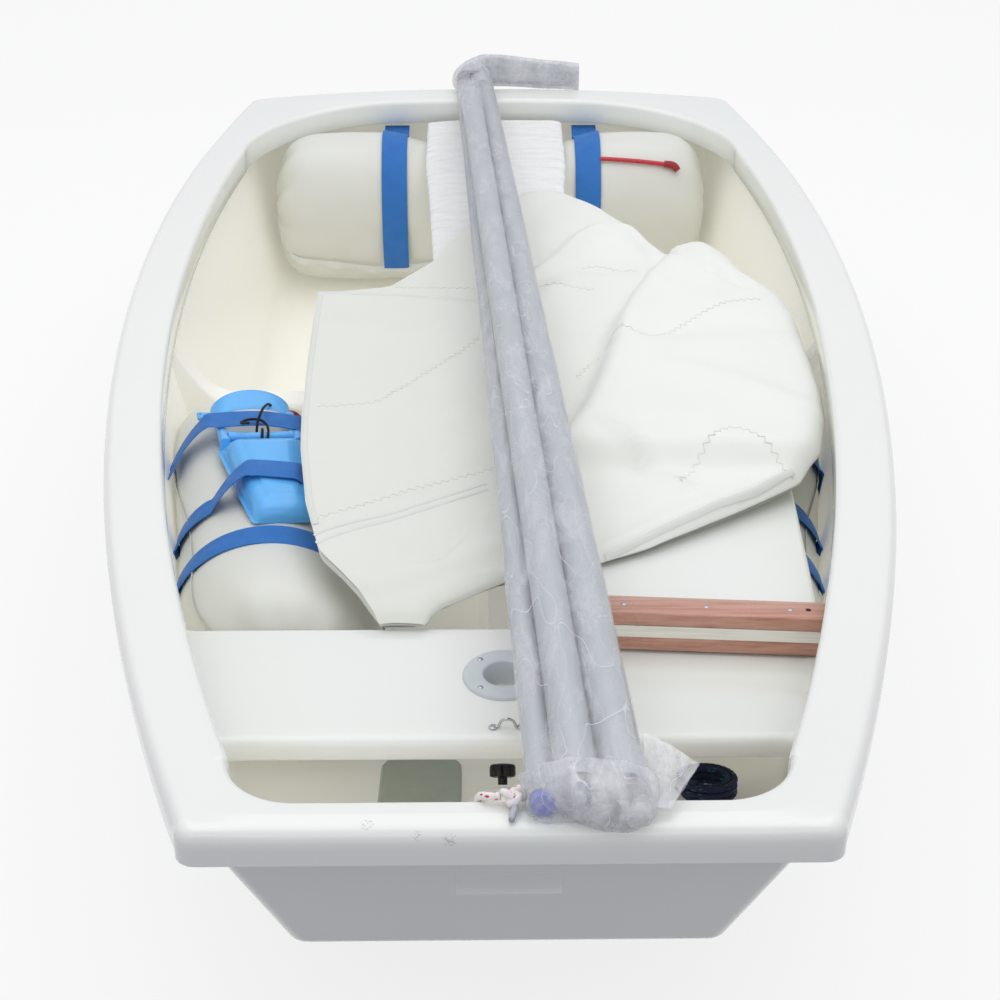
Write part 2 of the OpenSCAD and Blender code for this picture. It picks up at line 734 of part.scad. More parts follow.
// Centre line of each spar: [start, direction to the stern rest]
mast_a = [109, 26, bow_h + 23];
mast_b = [-17, loa - 40, stern_h + stern_crown + 23.4];
boom_a = [64.5, 26, bow_h + 27.4];
boom_b = [-38, loa - 260, stern_h + stern_crown + 61.5];
sprit_a = [30, 26, bow_h + 14.4];
sprit_b = [-53.5, loa - 40, stern_h + stern_crown + 15.2];
function on_line(a, b, y) = mix(a, b, (y - a[1]) / (b[1] - a[1]));
module spar(a, b, d, l, wall) {
  p = on_line(a, b, spar_y0);
  v = b - a;
  at_bow() translate(p) rotate([0, 0, atan2(v[1], v[0])])
    rotate([0, atan2(norm([v[0], v[1]]), v[2]), 0]) difference() {
      cylinder(d = d, h = l);
      translate([0, 0, -1]) cylinder(d = d - 2 * wall, h = l + 2);
    }
}

module mast() {
  color(grey) spar(mast_a, mast_b, mast_d, mast_l, 1.8);
}

module boom() {
  color(grey) spar(boom_a, boom_b, boom_d, boom_l, 1.6);
}

module sprit() {
  color(grey) spar(sprit_a, sprit_b, sprit_d, sprit_l, 1.5);
}

// Film outline round the spars: furthest circle in each direction
sleeve_n = 44;
function circles(y, g) = let (k = max(0, min(1, (loa - 100 - y) / 110))) [
  [on_line(mast_a, mast_b, y), mast_d / 2 + g],
  [on_line(sprit_a, sprit_b, y), sprit_d / 2 + g],
  [mix(on_line(mast_a, mast_b, y), on_line(boom_a, boom_b, y), k), boom_d / 2 + g]
];
function reach(c, u) = c[0][0] * u[0] + c[0][2] * u[1] + c[1];
function best(cs, u, i = 2) = i == 0 ? 0
  : let (j = best(cs, u, i - 1)) reach(cs[i], u) > reach(cs[j], u) ? i : j;
function hull_ring(y, g) = let (cs = circles(y, g)) [for (j = [0:sleeve_n - 1]) let (
  a = 360 * j / sleeve_n, u = [cos(a), sin(a)], c = cs[best(cs, u)], r = c[1] / cos(180 / sleeve_n)
) [c[0][0] + r * u[0], y, c[0][2] + r * u[1]]];
sleeve_ys = [16, 40, 62, 120, 400, 800, 1200, 1600, loa - 380, loa - 260, loa - 210, loa - 140, loa - 90,
  loa - 40, loa];

module spar_sleeve() {
  color(film) at_bow() difference() {
    skin_of([for (y = sleeve_ys) hull_ring(y, y < 60 || y > loa - 90 ? 0.48 : 1.6)]);
    skin_of([for (y = concat([10], sleeve_ys, [2350])) hull_ring(y, y < 60 || y > loa - 90 ? 0.28 : 0.6)]);
  }
}

module sleeve_end_bow() {
  z = bow_h - 0.2;
  color(film) at_bow() {
    skin_of([
      [[74, 4, z + 6], [128, 3, z + 6], [134, 3, z + 20], [116, 4, z + 34], [84, 4, z + 26]],
      [[70, 10, z + 0.4], [132, 9, z + 0.4], [140, 10, z + 22], [118, 10, z + 42], [78, 11, z + 34]],
      [[60, 15.6, z + 0.4], [130, 15.6, z + 0.4], [136, 15.6, z + 24], [112, 15.6, z + 44],
        [62, 15.6, z + 38]]
    ]);
    skin_of([
      [[133, 34, z + 10], [160, 30, z + 4], [162, 30, z + 8], [133, 34, z + 15]],
      [[131.8, 66, z + 16], [176, 74, z + 10], [178, 74, z + 14], [131.8, 66, z + 21]],
      [[130.4, 96, z + 20], [196, 118, z + 16], [197, 118, z + 20], [130.4, 96, z + 25]],
      [[128.8, 128, z + 18], [180, 146, z + 18], [181, 146, z + 22], [128.8, 128, z + 23]]
    ]);
  }
}

module sleeve_tail_stern() {
  y = loa + 0.6;
  t = tail_t;
  color(film) at_bow() {
    skin_of([for (q = [
      [-42, 442, 500, 0.5], [-20, 434, 508, 0.9], [40, 428, 504, 1], [110, 426, 500, 1], [168, 428, 494, 0.9],
      [188, 434, 488, 0.5]
    ]) let (m = (1 - q[3]) * t / 2) [
      [q[0], y, q[1] + 4], [q[0], y + t - m, q[1]], [q[0], y + t - m, q[2] - 8], [q[0], y + t / 2, q[2]],
      [q[0], y, q[2] - 6]
    ]]);
  }
}

// ---- wrapped rudder and sail --------------------------------------------

module rudder_package() {
  w = 136;
  color(bagwhite) at_bow() translate([10, loa - 172, sb_z + 3]) rotate([5, 0, 0])
    translate([0, 0, stern_bag_h / 2 * 0.83 + 0.9]) skin_of([for (q = [
      [84, 0.9, 0.7], [78, 1, 1], [-120, 1, 1], [-300, 0.92, 1], [-536, 0.84, 0.9], [-546, 0.74, 0.6]
    ]) let (y = q[0], x = w * q[1], h = 25 * q[2], o = (25 - h) / 2) [
      [-x + 8, y, o], [x - 8, y, o], [x, y, o + h * 0.3], [x, y, o + h * 0.7], [x - 8, y, o + h],
      [-x + 8, y, o + h], [-x, y, o + h * 0.7], [-x, y, o + h * 0.3]
    ]]);
}

// Heap of sailcloth: left and right edge, underside and thickness by place
sail_y0 = 506;
sail_y1 = 1880;
sail_left = [[506, -150], [560, -180], [640, -232], [760, -258], [900, -276], [1000, -283], [1200, -290],
  [1455, -293], [1480, -176], [1580, -110], [1720, -42], [1800, 4], [1880, 76]];
sail_right = [[506, -96], [530, -80], [582, 10], [604, 120], [643, 189], [716, 287], [805, 404], [873, 444],
  [962, 466], [1057, 476], [1300, 478], [1372, 470], [1430, 424], [1540, 384], [1620, 290], [1720, 248],
  [1800, 204], [1880, 124]];
function smooth(a, b, x) = let (t = max(0, min(1, (x - a) / (b - a)))) t * t * (3 - 2 * t);
function board_top(y) = thwart_z + 0.4 + bat_t + board_t + (478 - y) * tan(board_tilt) + 3.4;
function sail_under(x, y) = max(
  353,
  mix(353, y < 520 ? 400 : board_top(y), smooth(20, 96, x)),
  mix(353, 366 + 0.0875 * (y - 1760), smooth(-190, -140, x) * smooth(1690, 1750, y) * (1 - smooth(170, 230, x)))
) + 1.8;
function sail_thick(u, x, y) = let (e = pow(max(0, 1 - pow(abs(2 * u - 1), 4)), 0.6))
  10 + e * smooth(500, 760, y) * (1 - smooth(1740, 1880, y))
    * (24 + 30 * exp(-pow((x - 290) / 130, 2) - pow((y - 1250) / 330, 2))
      + 8 * sin(y * 0.9 + x * 0.4) + 7 * sin(x * 1.3 - y * 0.35));

module sail() {
  nu = 14;
  color([0.95, 0.95, 0.93]) at_bow() skin_of([for (i = [0:32]) let (
    y = mix(sail_y0, sail_y1, i / 32), l = lookup(y, sail_left), r = lookup(y, sail_right)
  ) concat(
    [for (j = [0:nu]) let (x = mix(l, r, j / nu)) [x, y, sail_under(x, y)]],
    [for (j = [nu:-1:0]) let (x = mix(l, r, j / nu)) [x, y, sail_under(x, y) + sail_thick(j / nu, x, y)]]
  )]);
}

// ---- painter ------------------------------------------------------------

rim_top_bow = bow_h - 0.2;
coil_y = 236;
coil_r = 58;
coil_w = 20;
coil_a = atan((keel(coil_y - 60) - keel(coil_y + 60)) / 120);
module coil_place() {
  at_bow() translate([-6, coil_y, floor_z(coil_y) + 2.2]) rotate([-coil_a, 0, 0]) children();
}

module painter_coil() {
  color([0.86, 0.8, 0.78]) coil_place() translate([0, 0, coil_w * 0.8])
    rotate_extrude($fn = 48) translate([coil_r, 0]) scale([1, 0.8]) circle(r = coil_w, $fn = 20);
}

module coil_tie() {
  color([0.86, 0.8, 0.78]) coil_place() translate([coil_r, 0, coil_w * 0.8]) rotate([90, 0, 0])
    translate([0, 0, -12]) linear_extrude(24) difference() {
      scale([1, 0.8]) circle(r = coil_w + 4.6, $fn = 24);
      scale([1, 0.8]) circle(r = coil_w + 2.4, $fn = 24);
      translate([-40, -40 - coil_w * 0.8 - 1.6]) square([80, 40]);
    }
}

painter_pts = [[-46, 186, 258], [-44, 150, 282], [-42, 112, 336], [-38, 74, 396], [-34, 59, 424],
  [-32, 57.4, 444], [-30, 54, 457.5], [-25, 46.5, 464.4], [-18, 43, 465], [-9, 42, 467]];
module painter_line() {
  color([0.86, 0.8, 0.78]) at_bow() tube(route(painter_pts, 3), rope_d / 2, 8, [1, 0, 0]);
}

module painter_knot() {
  z = rim_top_bow + 10.4;
  color([0.86, 0.8, 0.78]) at_bow() {
    translate([2, 42, z - 0.8]) scale([1.15, 1.15, 1]) sphere(r = 10, $fn = 16);
    tube([[3, 30.4, z - 4], [2.6, 26, z - 6], [1.6, 20, z - 6.2], [0, 13, z - 6.2]], rope_d / 2, 8);
  }
}

// ---- loose bits on the floor forward ------------------------------------

module bow_pad() {
  x0 = -158;
  color([0.66, 0.7, 0.66]) at_bow() skin_of([for (i = [0:8]) let (
    y = mix(446, 580, i / 8), k = (i == 0 || i == 8) ? 5 : 0, z = floor_z(y) + 0.4
  ) [[x0 + k, y, z], [x0 + 106 - k, y, z], [x0 + 106 - k, y, z + 12 - k], [x0 + k, y, z + 12 - k]]]);
}

module sheet_coil() {
  a = atan((keel(440) - keel(560)) / 120);
  color([0.1, 0.14, 0.4]) at_bow() translate([262, 500, floor_z(500) + 1.2]) rotate([-a, 0, 0])
    difference() {
      cylinder(d = 80, h = 30);
      translate([0, 0, -1]) cylinder(d = 50, h = 40);
    }
}

bottom_panel();
side_starboard();
side_port();
transom_bow();
transom_stern();
rim();
mast_thwart();
mast_collar();
collar_screws();
saddle_eye();
mast_step();
step_knob();
midship_frame();
board_case();
rudder_gudgeons();
bag_starboard();
bag_port();
bag_stern();
inflation_tube();
straps_starboard();
straps_port();
straps_stern();
strap_anchors();
bailer_scoop();
bailer_handle();
bailer_lanyard();
daggerboard();
board_battens();
batten_screws();
sail();
mast();
boom();
sprit();
spar_sleeve();
sleeve_end_bow();
sleeve_tail_stern();
rudder_package();
painter_line();
painter_knot();
painter_coil();
coil_tie();
bow_pad();
sheet_coil();
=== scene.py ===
"""Looks of a small white pram dinghy, built round its packed parts."""

import math

import bmesh
import bpy
from mathutils import Matrix, Vector, noise


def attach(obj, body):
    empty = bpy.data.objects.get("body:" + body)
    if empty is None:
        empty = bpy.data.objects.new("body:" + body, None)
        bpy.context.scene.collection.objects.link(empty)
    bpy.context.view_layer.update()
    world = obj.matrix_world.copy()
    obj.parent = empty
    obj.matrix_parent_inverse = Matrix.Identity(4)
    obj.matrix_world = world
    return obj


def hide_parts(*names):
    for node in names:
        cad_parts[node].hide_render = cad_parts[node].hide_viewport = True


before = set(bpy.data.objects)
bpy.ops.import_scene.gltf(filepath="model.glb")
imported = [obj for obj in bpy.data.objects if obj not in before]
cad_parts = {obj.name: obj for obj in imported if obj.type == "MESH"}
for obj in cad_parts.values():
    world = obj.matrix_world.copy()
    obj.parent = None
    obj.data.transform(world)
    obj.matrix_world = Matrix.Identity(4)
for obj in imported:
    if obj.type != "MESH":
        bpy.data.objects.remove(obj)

bl_info = {
    "name": "Pram dinghy looks",
    "version": (1, 0, 0),
    "blender": (4, 5, 0),
    "location": "3D View > Sidebar > Dinghy",
    "description": "Builds the hull skin, soft gear, wrapping and ropes of a small pram dinghy",
    "category": "Object",
}

# ---- the boat's lines, in millimetres: x to port, y aft from the bow, z up ----

LOA = 2340.0
MID = 1183.0  # middle of the whole length, film tail included
BOW_TOP, BOW_FOOT = 30.0, 126.0
STERN_TOP, STERN_FOOT = 2310.0, 2286.0
RAIL_DROP = 7.2  # top of the panels below the rim's face
RIM_WIDTH = 78.0
WALL = 7.0
SKIN = 9.0
THWART_Z = 339.0
MAST_Y = 412.0
FRAME_Y = 1268.0
BAG_R = 144.0


def mix(a, b, t):
    """Value between a and b at share t."""
    return a + (b - a) * t


def smooth(a, b, x):
    """Eased step from 0 at a to 1 at b."""
    t = min(1.0, max(0.0, (x - a) / (b - a)))
    return t * t * (3 - 2 * t)


def bell(x, width):
    """Bump of height 1 at x = 0 that fades over width."""
    return math.exp(-((x / width) ** 2))


def five(v, t):
    """Smooth curve through five values spaced evenly from t = 0 to t = 1."""
    return sum(v[i] * math.prod((4 * t - j) / (i - j) for j in range(5) if j != i) for i in range(5))


def rim_x(y):
    """Half breadth of the rim."""
    return five((312, 486, 570, 576, 490), y / LOA)


def chine_x(y):
    """Half breadth where bottom and side meet."""
    return five((162, 374, 448, 454, 422), y / LOA)


def sheer(y):
    """Height of the rim's face along the side."""
    t = 2 * y / LOA - 1
    return 428 + 11 * t * t - 21 * t


def rim_z(x, y):
    """Height of the rim's face, crowned towards the stern."""
    return sheer(y) + 22 * (1 - (x / 490) ** 2) * smooth(1920, 2340, y)


def keel(y):
    """Height of the bottom's underside, which rises to the bow and a little to the stern."""
    if y < 1130:
        return 196 * ((1130 - y) / 1004) ** 2
    return 100 * ((y - 1350) / 936) ** 2 if y > 1350 else 0.0


def floor_z(y):
    """Height of the bottom's inner face."""
    return keel(y) + 9


def hull_x(y, z):
    """Half breadth of the inside of the hull."""
    f = 0.5
    for _ in range(6):
        y0, y1 = mix(BOW_FOOT + WALL, BOW_TOP + WALL, f), mix(STERN_FOOT - WALL, STERN_TOP - WALL, f)
        s = (y - y0) / (y1 - y0)
        low = mix(BOW_FOOT + WALL, STERN_FOOT - WALL, s)
        high = mix(BOW_TOP + WALL, STERN_TOP - WALL, s)
        a, b = floor_z(low), sheer(high) - RAIL_DROP
        f = (z - a) / (b - a)
    return mix(chine_x(low), rim_x(high) - 30, f) - 7.8


def along(table, y):
    """Straight-line look-up in a list of (place, value)."""
    if y <= table[0][0]:
        return table[0][1]
    for (a, va), (b, vb) in zip(table, table[1:]):
        if y <= b:
            return mix(va, vb, (y - a) / (b - a))
    return table[-1][1]


def waves(x, y, z, size, seed=0.0):
    """Soft noise from -1 to 1 with lumps about size millimetres across."""
    return noise.noise(Vector((x / size + seed, y / size - seed, z / size + 2 * seed)))


def oval(cx, cy, rx, ry, a):
    """Point on an ellipse at a degrees."""
    a = math.radians(a)
    return cx + rx * math.cos(a), cy + ry * math.sin(a)


def arc(cx, cy, rx, ry, a0, a1, n):
    """n + 1 points on an ellipse, from a0 to a1 degrees."""
    return [oval(cx, cy, rx, ry, mix(a0, a1, i / n)) for i in range(n + 1)]


def circle(n):
    """Angles of n points round a full turn."""
    return [2 * math.pi * j / n for j in range(n)]


def between(a, b, c, d, t):
    """Point on the smooth curve from b to c, with a before and d after them."""
    flat = 2 * b + (c - a) * t
    return 0.5 * (flat + (2 * a - 5 * b + 4 * c - d) * t**2 + (3 * b - a - 3 * c + d) * t**3)


def heading(line, i):
    """Direction of a line of points at point i."""
    return (line[min(len(line) - 1, i + 1)] - line[max(0, i - 1)]).normalized()


# ---- meshes -----------------------------------------------------------------


def metres(p):
    """A place in millimetres as a place in the frame."""
    return Vector((p[0] / 1000, (p[1] - MID) / 1000, p[2] / 1000))


def face_outward(me):
    """Turns every face of a mesh outward."""
    bm = bmesh.new()
    bm.from_mesh(me)
    bmesh.ops.recalc_face_normals(bm, faces=bm.faces)
    bm.to_mesh(me)
    bm.free()


def piece(name, verts, faces, mats, sharp=40, replaces=(), uvs=None, picks=None):
    """Makes one visible piece from points in millimetres."""
    me = bpy.data.meshes.new(name)
    me.from_pydata([metres(v) for v in verts], [], faces)
    for m in mats if isinstance(mats, (list, tuple)) else [mats]:
        me.materials.append(m)
    if uvs:
        layer = me.uv_layers.new(name="UVMap")
        for loop in me.loops:
            layer.data[loop.index].uv = uvs[loop.vertex_index]
    if picks:
        for poly, k in zip(me.polygons, picks):
            poly.material_index = k
    face_outward(me)
    for poly in me.polygons:
        poly.use_smooth = True
    if sharp < 180:
        me.set_sharp_from_angle(angle=math.radians(sharp))
    ob = bpy.data.objects.new(name, me)
    bpy.context.scene.collection.objects.link(ob)
    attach(ob, "root")
    if replaces:
        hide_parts(*replaces)
    return ob


def bake(ob):
    """Applies every modifier of an object."""
    graph = bpy.context.evaluated_depsgraph_get()
    graph.update()
    me = bpy.data.meshes.new_from_object(ob.evaluated_get(graph))
    ob.modifiers.clear()
    ob.data = me
    return ob


def cut(ob, verts, faces):
    """Takes a closed solid away from a piece."""
    me = bpy.data.meshes.new("cutter")
    me.from_pydata([metres(v) for v in verts], [], faces)
    face_outward(me)
    tool = bpy.data.objects.new("cutter", me)
    bpy.context.scene.collection.objects.link(tool)
    mod = ob.modifiers.new("cut", "BOOLEAN")
    mod.operation = "DIFFERENCE"
    mod.solver = "EXACT"
    mod.object = tool
    bake(ob)
    bpy.data.objects.remove(tool)
    return ob


def skin(rings, closed=True, loop=False, caps=True):
    """Joins rings of equal length into verts and faces."""
    n, m = len(rings[0]), len(rings)
    verts = [p for ring in rings for p in ring]
    faces = []
    for i in range(m if loop else m - 1):
        for j in range(n if closed else n - 1):
            a, b = i * n + j, i * n + (j + 1) % n
            k = (i + 1) % m
            faces.append((a, b, k * n + (j + 1) % n, k * n + j))
    if caps and not loop and closed:
        faces.append(tuple(range(n - 1, -1, -1)))
        faces.append(tuple((m - 1) * n + j for j in range(n)))
    return verts, faces


def join(*parts):
    """Puts several (verts, faces) together."""
    verts, faces = [], []
    for v, f in parts:
        k = len(verts)
        verts += list(v)
        faces += [tuple(i + k for i in face) for face in f]
    return verts, faces


def spline(points, k):
    """Smooth line through hand-set points, k steps to each leg."""
    p = [Vector(q) for q in points]
    out = []
    for i in range(len(p) - 1):
        a, b, c, d = p[max(0, i - 1)], p[i], p[i + 1], p[min(len(p) - 1, i + 2)]
        out += [between(a, b, c, d, j / k) for j in range(k)]
    return out + [p[-1]]


def length_of(line):
    """Length of a line of points."""
    return sum((Vector(b) - Vector(a)).length for a, b in zip(line, line[1:]))


def even(line, step):
    """The same line with points an even step apart."""
    line = [Vector(q) for q in line]
    n = max(2, round(length_of(line) / step))
    step = length_of(line) / n
    out, left = [line[0]], step
    for a, b in zip(line, line[1:]):
        run = (b - a).length
        while run >= left and len(out) < n:
            a = a + (b - a) * (left / run)
            run = (b - a).length
            out.append(a)
            left = step
        left -= run
    return out + [line[-1]]


def tube(line, radius, n=12, lobes=0, pitch=22.0, cap=True):
    """Round or stranded tube along a line; gives verts, faces and uvs."""
    line = [Vector(q) for q in line]
    m = len(line)
    tan = [heading(line, i) for i in range(m)]
    side = tan[0].orthogonal().normalized()
    rings, uvs, run = [], [], 0.0
    for i, p in enumerate(line):
        side = (side - tan[i] * side.dot(tan[i])).normalized()
        other = tan[i].cross(side)
        if i:
            run += (p - line[i - 1]).length
        r = radius(i / (m - 1)) if callable(radius) else radius
        twist = 2 * math.pi * run / pitch
        ring = []
        for j, a in enumerate(circle(n)):
            k = 1.0
            if lobes:
                k = 0.86 + 0.15 * abs(math.cos(0.5 * lobes * (a - twist)))
            ring.append(p + (side * math.cos(a) + other * math.sin(a)) * r * k)
            uvs.append((j / n, run / 1000))
        rings.append(ring)
    v, f = skin(rings, caps=cap)
    return v, f, uvs


def lathe(profile, centre, n=48, matrix=None, caps=True):
    """Turns a list of (radius, height) round the upright through a point."""
    rings = []
    for r, z in profile:
        ring = []
        for a in circle(n):
            p = Vector((r * math.cos(a), r * math.sin(a), z))
            if matrix:
                p = matrix @ p
            ring.append(p + Vector(centre))
        rings.append(ring)
    return skin(rings, caps=caps)


def rounded_box(size, radius, segments=3, matrix=None):
    """Box with rounded edges, its centre at the origin before the matrix."""
    bm = bmesh.new()
    bmesh.ops.create_cube(bm, size=1)
    for v in bm.verts:
        for i in range(3):
            v.co[i] *= size[i]
    bmesh.ops.bevel(
        bm, geom=bm.edges[:], offset=radius, segments=segments, profile=0.5, affect="EDGES"
    )
    if matrix:
        bmesh.ops.transform(bm, matrix=matrix, verts=bm.verts)
    bm.verts.ensure_lookup_table()
    out = [v.co.copy() for v in bm.verts], [tuple(v.index for v in f.verts) for f in bm.faces]
    bm.free()
    return out


# ---- materials --------------------------------------------------------------

MATS = {}


def srgb(code):
    """Linear colour from a hex code."""
    out = []
    for i in (1, 3, 5):
        c = int(code[i : i + 2], 16) / 255
        out.append(c / 12.92 if c <= 0.04045 else ((c + 0.055) / 1.055) ** 2.4)
    return (*out, 1.0)


def add(tree, kind, links=None, **settings):
    """Adds one shader node; links maps a socket to a value or another socket."""
    node = tree.nodes.new("ShaderNode" + kind)
    for name, value in settings.items():
        setattr(node, name, value)
    for name, value in (links or {}).items():
        if isinstance(value, bpy.types.NodeSocket):
            tree.links.new(value, node.inputs[name])
        else:
            node.inputs[name].default_value = value
    return node


def chosen(key):
    """One of the settings that the panel shows."""
    return getattr(bpy.context.scene.dinghy, key)


def half_width(key):
    """Half of a width setting, in millimetres."""
    return round(chosen(key) * 500, 4)


def surface(
    name, light, dark, rough, patch=0.12, bump=0.1, grain=0.004, metallic=0.0, coat=0.0, sheen=0.0, uv=False
):
    """Base of every finish: two close tones in soft patches, uneven gloss, fine relief.
    patch and grain are in metres. light is a hex code, or a setting's name."""
    mat = bpy.data.materials.new(name)
    mat.use_nodes = True
    tree = mat.node_tree
    tree.nodes.clear()
    out = add(tree, "OutputMaterial")
    place = add(tree, "TexCoord").outputs["UV" if uv else "Object"]
    first = srgb(light) if light.startswith("#") else tuple(chosen(light))
    broad = add(tree, "TexNoise", {"Vector": place, "Scale": 1 / patch, "Detail": 3.0, "Roughness": 0.55})
    tone = add(
        tree,
        "Mix",
        {0: broad.outputs["Fac"], 6: first, 7: srgb(dark)},
        data_type="RGBA",
    )
    gloss = add(
        tree,
        "MapRange",
        {
            "Value": broad.outputs["Fac"], "From Min": 0.3, "From Max": 0.7, "To Min": rough * 0.82,
            "To Max": min(1.0, rough * 1.2)
        },
    )
    fine = add(tree, "TexNoise", {"Vector": place, "Scale": 1 / grain, "Detail": 4.0, "Roughness": 0.6})
    relief = add(tree, "Bump", {"Height": fine.outputs["Fac"], "Strength": bump, "Distance": 0.0006})
    body = add(
        tree,
        "BsdfPrincipled",
        {
            "Base Color": tone.outputs[2],
            "Roughness": gloss.outputs["Result"],
            "Normal": relief.outputs["Normal"],
            "Metallic": metallic,
            "Coat Weight": coat,
            "Coat Roughness": 0.12,
            "Sheen Weight": sheen,
        },
    )
    tree.links.new(body.outputs[0], out.inputs[0])
    MATS[name] = mat
    return tree, body, relief, place


def overlay(tree, body, factor, colour):
    """Lays a second colour over a finish where factor is 1."""
    under = body.inputs["Base Color"].links[0].from_socket
    top = add(tree, "Mix", {0: factor, 6: under, 7: srgb(colour)}, data_type="RGBA")
    tree.links.new(top.outputs[2], body.inputs["Base Color"])
    return top


def emboss(tree, body, relief, height, distance, strength=0.6):
    """Adds a second relief on top of the first."""
    more = add(
        tree,
        "Bump",
        {"Height": height, "Strength": strength, "Distance": distance, "Normal": relief.outputs["Normal"]},
    )
    tree.links.new(more.outputs["Normal"], body.inputs["Normal"])
    return more


# place and radius of each scuff, in metres
SCUFFS = ((-0.058, -1.180, 0.449, 0.004), (-0.088, -1.178, 0.452, 0.003), (-0.136, -1.169, 0.459, 0.004))


def gelcoat_white():
    """White gelcoat out of a polished mould: hard gloss, with three grey scuffs at the bow."""
    tree, body, _, place = surface(
        "gelcoat_white", "hull_colour", "#eef1ea", 0.14, patch=0.5, bump=0.03, grain=0.02, coat=0.4
    )
    wobble = add(tree, "TexNoise", {"Vector": place, "Scale": 420.0, "Detail": 2.0})
    marks = None
    for x, y, z, r in SCUFFS:
        gap = add(tree, "VectorMath", {0: place, 1: (x, y, z)}, operation="DISTANCE")
        near = add(
            tree, "MapRange",
            {
                "Value": gap.outputs["Value"], "From Min": r, "From Max": r * 2.0, "To Min": 1.0,
                "To Max": 0.0
            }
        )
        if marks:
            near = add(tree, "Math", {0: marks.outputs[0], 1: near.outputs[0]}, operation="MAXIMUM")
        marks = near
    spots = add(
        tree, "MapRange",
        {"Value": wobble.outputs["Fac"], "From Min": 0.5, "From Max": 0.58, "To Min": 0.0, "To Max": 0.4}
    )
    scuff = add(tree, "Math", {0: marks.outputs[0], 1: spots.outputs[0]}, operation="MULTIPLY")
    overlay(tree, body, scuff.outputs[0], "#7e7a76")


def gelcoat_inside():
    """The laminate's rolled inner face: duller, creamier aft, stained brown to port of the bow well."""
    tree, body, _, place = surface(
        "gelcoat_inside", "#faf9f2", "#f3f1e8", 0.38, patch=0.35, bump=0.10, grain=0.006
    )
    split = add(tree, "SeparateXYZ", {0: place})
    aft = add(
        tree, "MapRange",
        {"Value": split.outputs["Y"], "From Min": 0.1, "From Max": 1.1, "To Min": 0.0, "To Max": 0.6}
    )
    overlay(tree, body, aft.outputs[0], "#f0eee0")

    # painted shade: a brown shadow laid over the port half of the bow well
    port_shade = add(
        tree, "MapRange",
        {"Value": split.outputs["X"], "From Min": 0.05, "From Max": 0.20, "To Min": 0.0, "To Max": 0.5}
    )
    fore = add(
        tree, "MapRange",
        {"Value": split.outputs["Y"], "From Min": -0.80, "From Max": -0.62, "To Min": 1.0, "To Max": 0.0}
    )
    both = add(tree, "Math", {0: port_shade.outputs[0], 1: fore.outputs[0]}, operation="MULTIPLY")
    overlay(tree, body, both.outputs[0], "#8d7b77")
    # painted glow: the inner face gives off a faint light of its own, weaker where the painted shade lies
    light = add(
        tree, "Mix", {0: both.outputs[0], 6: (1.0, 0.975, 0.9, 1), 7: (0.15, 0.1, 0.1, 1)}, data_type="RGBA"
    )
    tree.links.new(light.outputs[2], body.inputs["Emission Color"])
    body.inputs["Emission Strength"].default_value = 0.15


def bag_cloth():
    """Coated nylon, welded: satin, faintly see-through. Weave drawn near 0.6 mm, to show."""
    tree, body, relief, place = surface(
        "bag_cloth", "bag_colour", "#dfdfd6", 0.36, patch=0.16, bump=0.12, grain=0.010, coat=0.1
    )
    body.inputs["Subsurface Weight"].default_value = 0.12
    body.inputs["Subsurface Radius"].default_value = (0.012, 0.012, 0.010)
    weave = add(tree, "TexBrick", {"Vector": place, "Scale": 900.0}, offset=0.5)
    emboss(tree, body, relief, weave.outputs["Fac"], 0.0001, 0.15)


def webbing_blue():
    """Woven polyester webbing: matt, with slanting ribs near 2 mm apart, darker in their valleys."""
    tree, body, relief, place = surface(
        "webbing_blue", "webbing_colour", "#2272c4", 0.55, patch=0.03, bump=0.3, grain=0.0012,
        sheen=0.04, uv=True
    )
    ribs = add(
        tree, "TexWave", {"Vector": place, "Scale": 260.0, "Distortion": 1.2, "Detail Scale": 2.0},
        wave_type="BANDS", bands_direction="DIAGONAL"
    )
    emboss(tree, body, relief, ribs.outputs["Fac"], 0.0005, 0.7)
    # painted shade: the valleys between the ribs are drawn darker
    rib_valley_shade = add(
        tree, "MapRange",
        {"Value": ribs.outputs["Fac"], "From Min": 0.0, "From Max": 1.0, "To Min": 0.28, "To Max": 0.0}
    )
    overlay(tree, body, rib_valley_shade.outputs[0], "#155aa6")


def cord_black():
    """Braided nylon cord: dull, its strands slanting."""
    tree, body, relief, place = surface(
        "cord_black", "#202023", "#131315", 0.7, patch=0.006, bump=0.4, grain=0.0008, uv=True
    )
    braid = add(
        tree, "TexWave", {"Vector": place, "Scale": 180.0, "Distortion": 3.0}, bands_direction="DIAGONAL"
    )
    emboss(tree, body, relief, braid.outputs["Fac"], 0.0006)


def ply_edge():
    """Painted plywood end, sawn: its 1.5 mm plies show faintly through the paint."""
    tree, body, _, place = surface(
        "ply_edge", "#fbf9f0", "#f3efe2", 0.5, patch=0.05, bump=0.2, grain=0.003
    )
    stretch = add(tree, "VectorMath", {0: place, 1: (14.0, 60.0, 620.0)}, operation="MULTIPLY")
    plies = add(tree, "TexNoise", {"Vector": stretch.outputs[0], "Scale": 1.0, "Detail": 2.0})
    lines = add(
        tree, "MapRange",
        {"Value": plies.outputs["Fac"], "From Min": 0.5, "From Max": 0.66, "To Min": 0.0, "To Max": 0.3}
    )
    overlay(tree, body, lines.outputs[0], "#c8bda6")


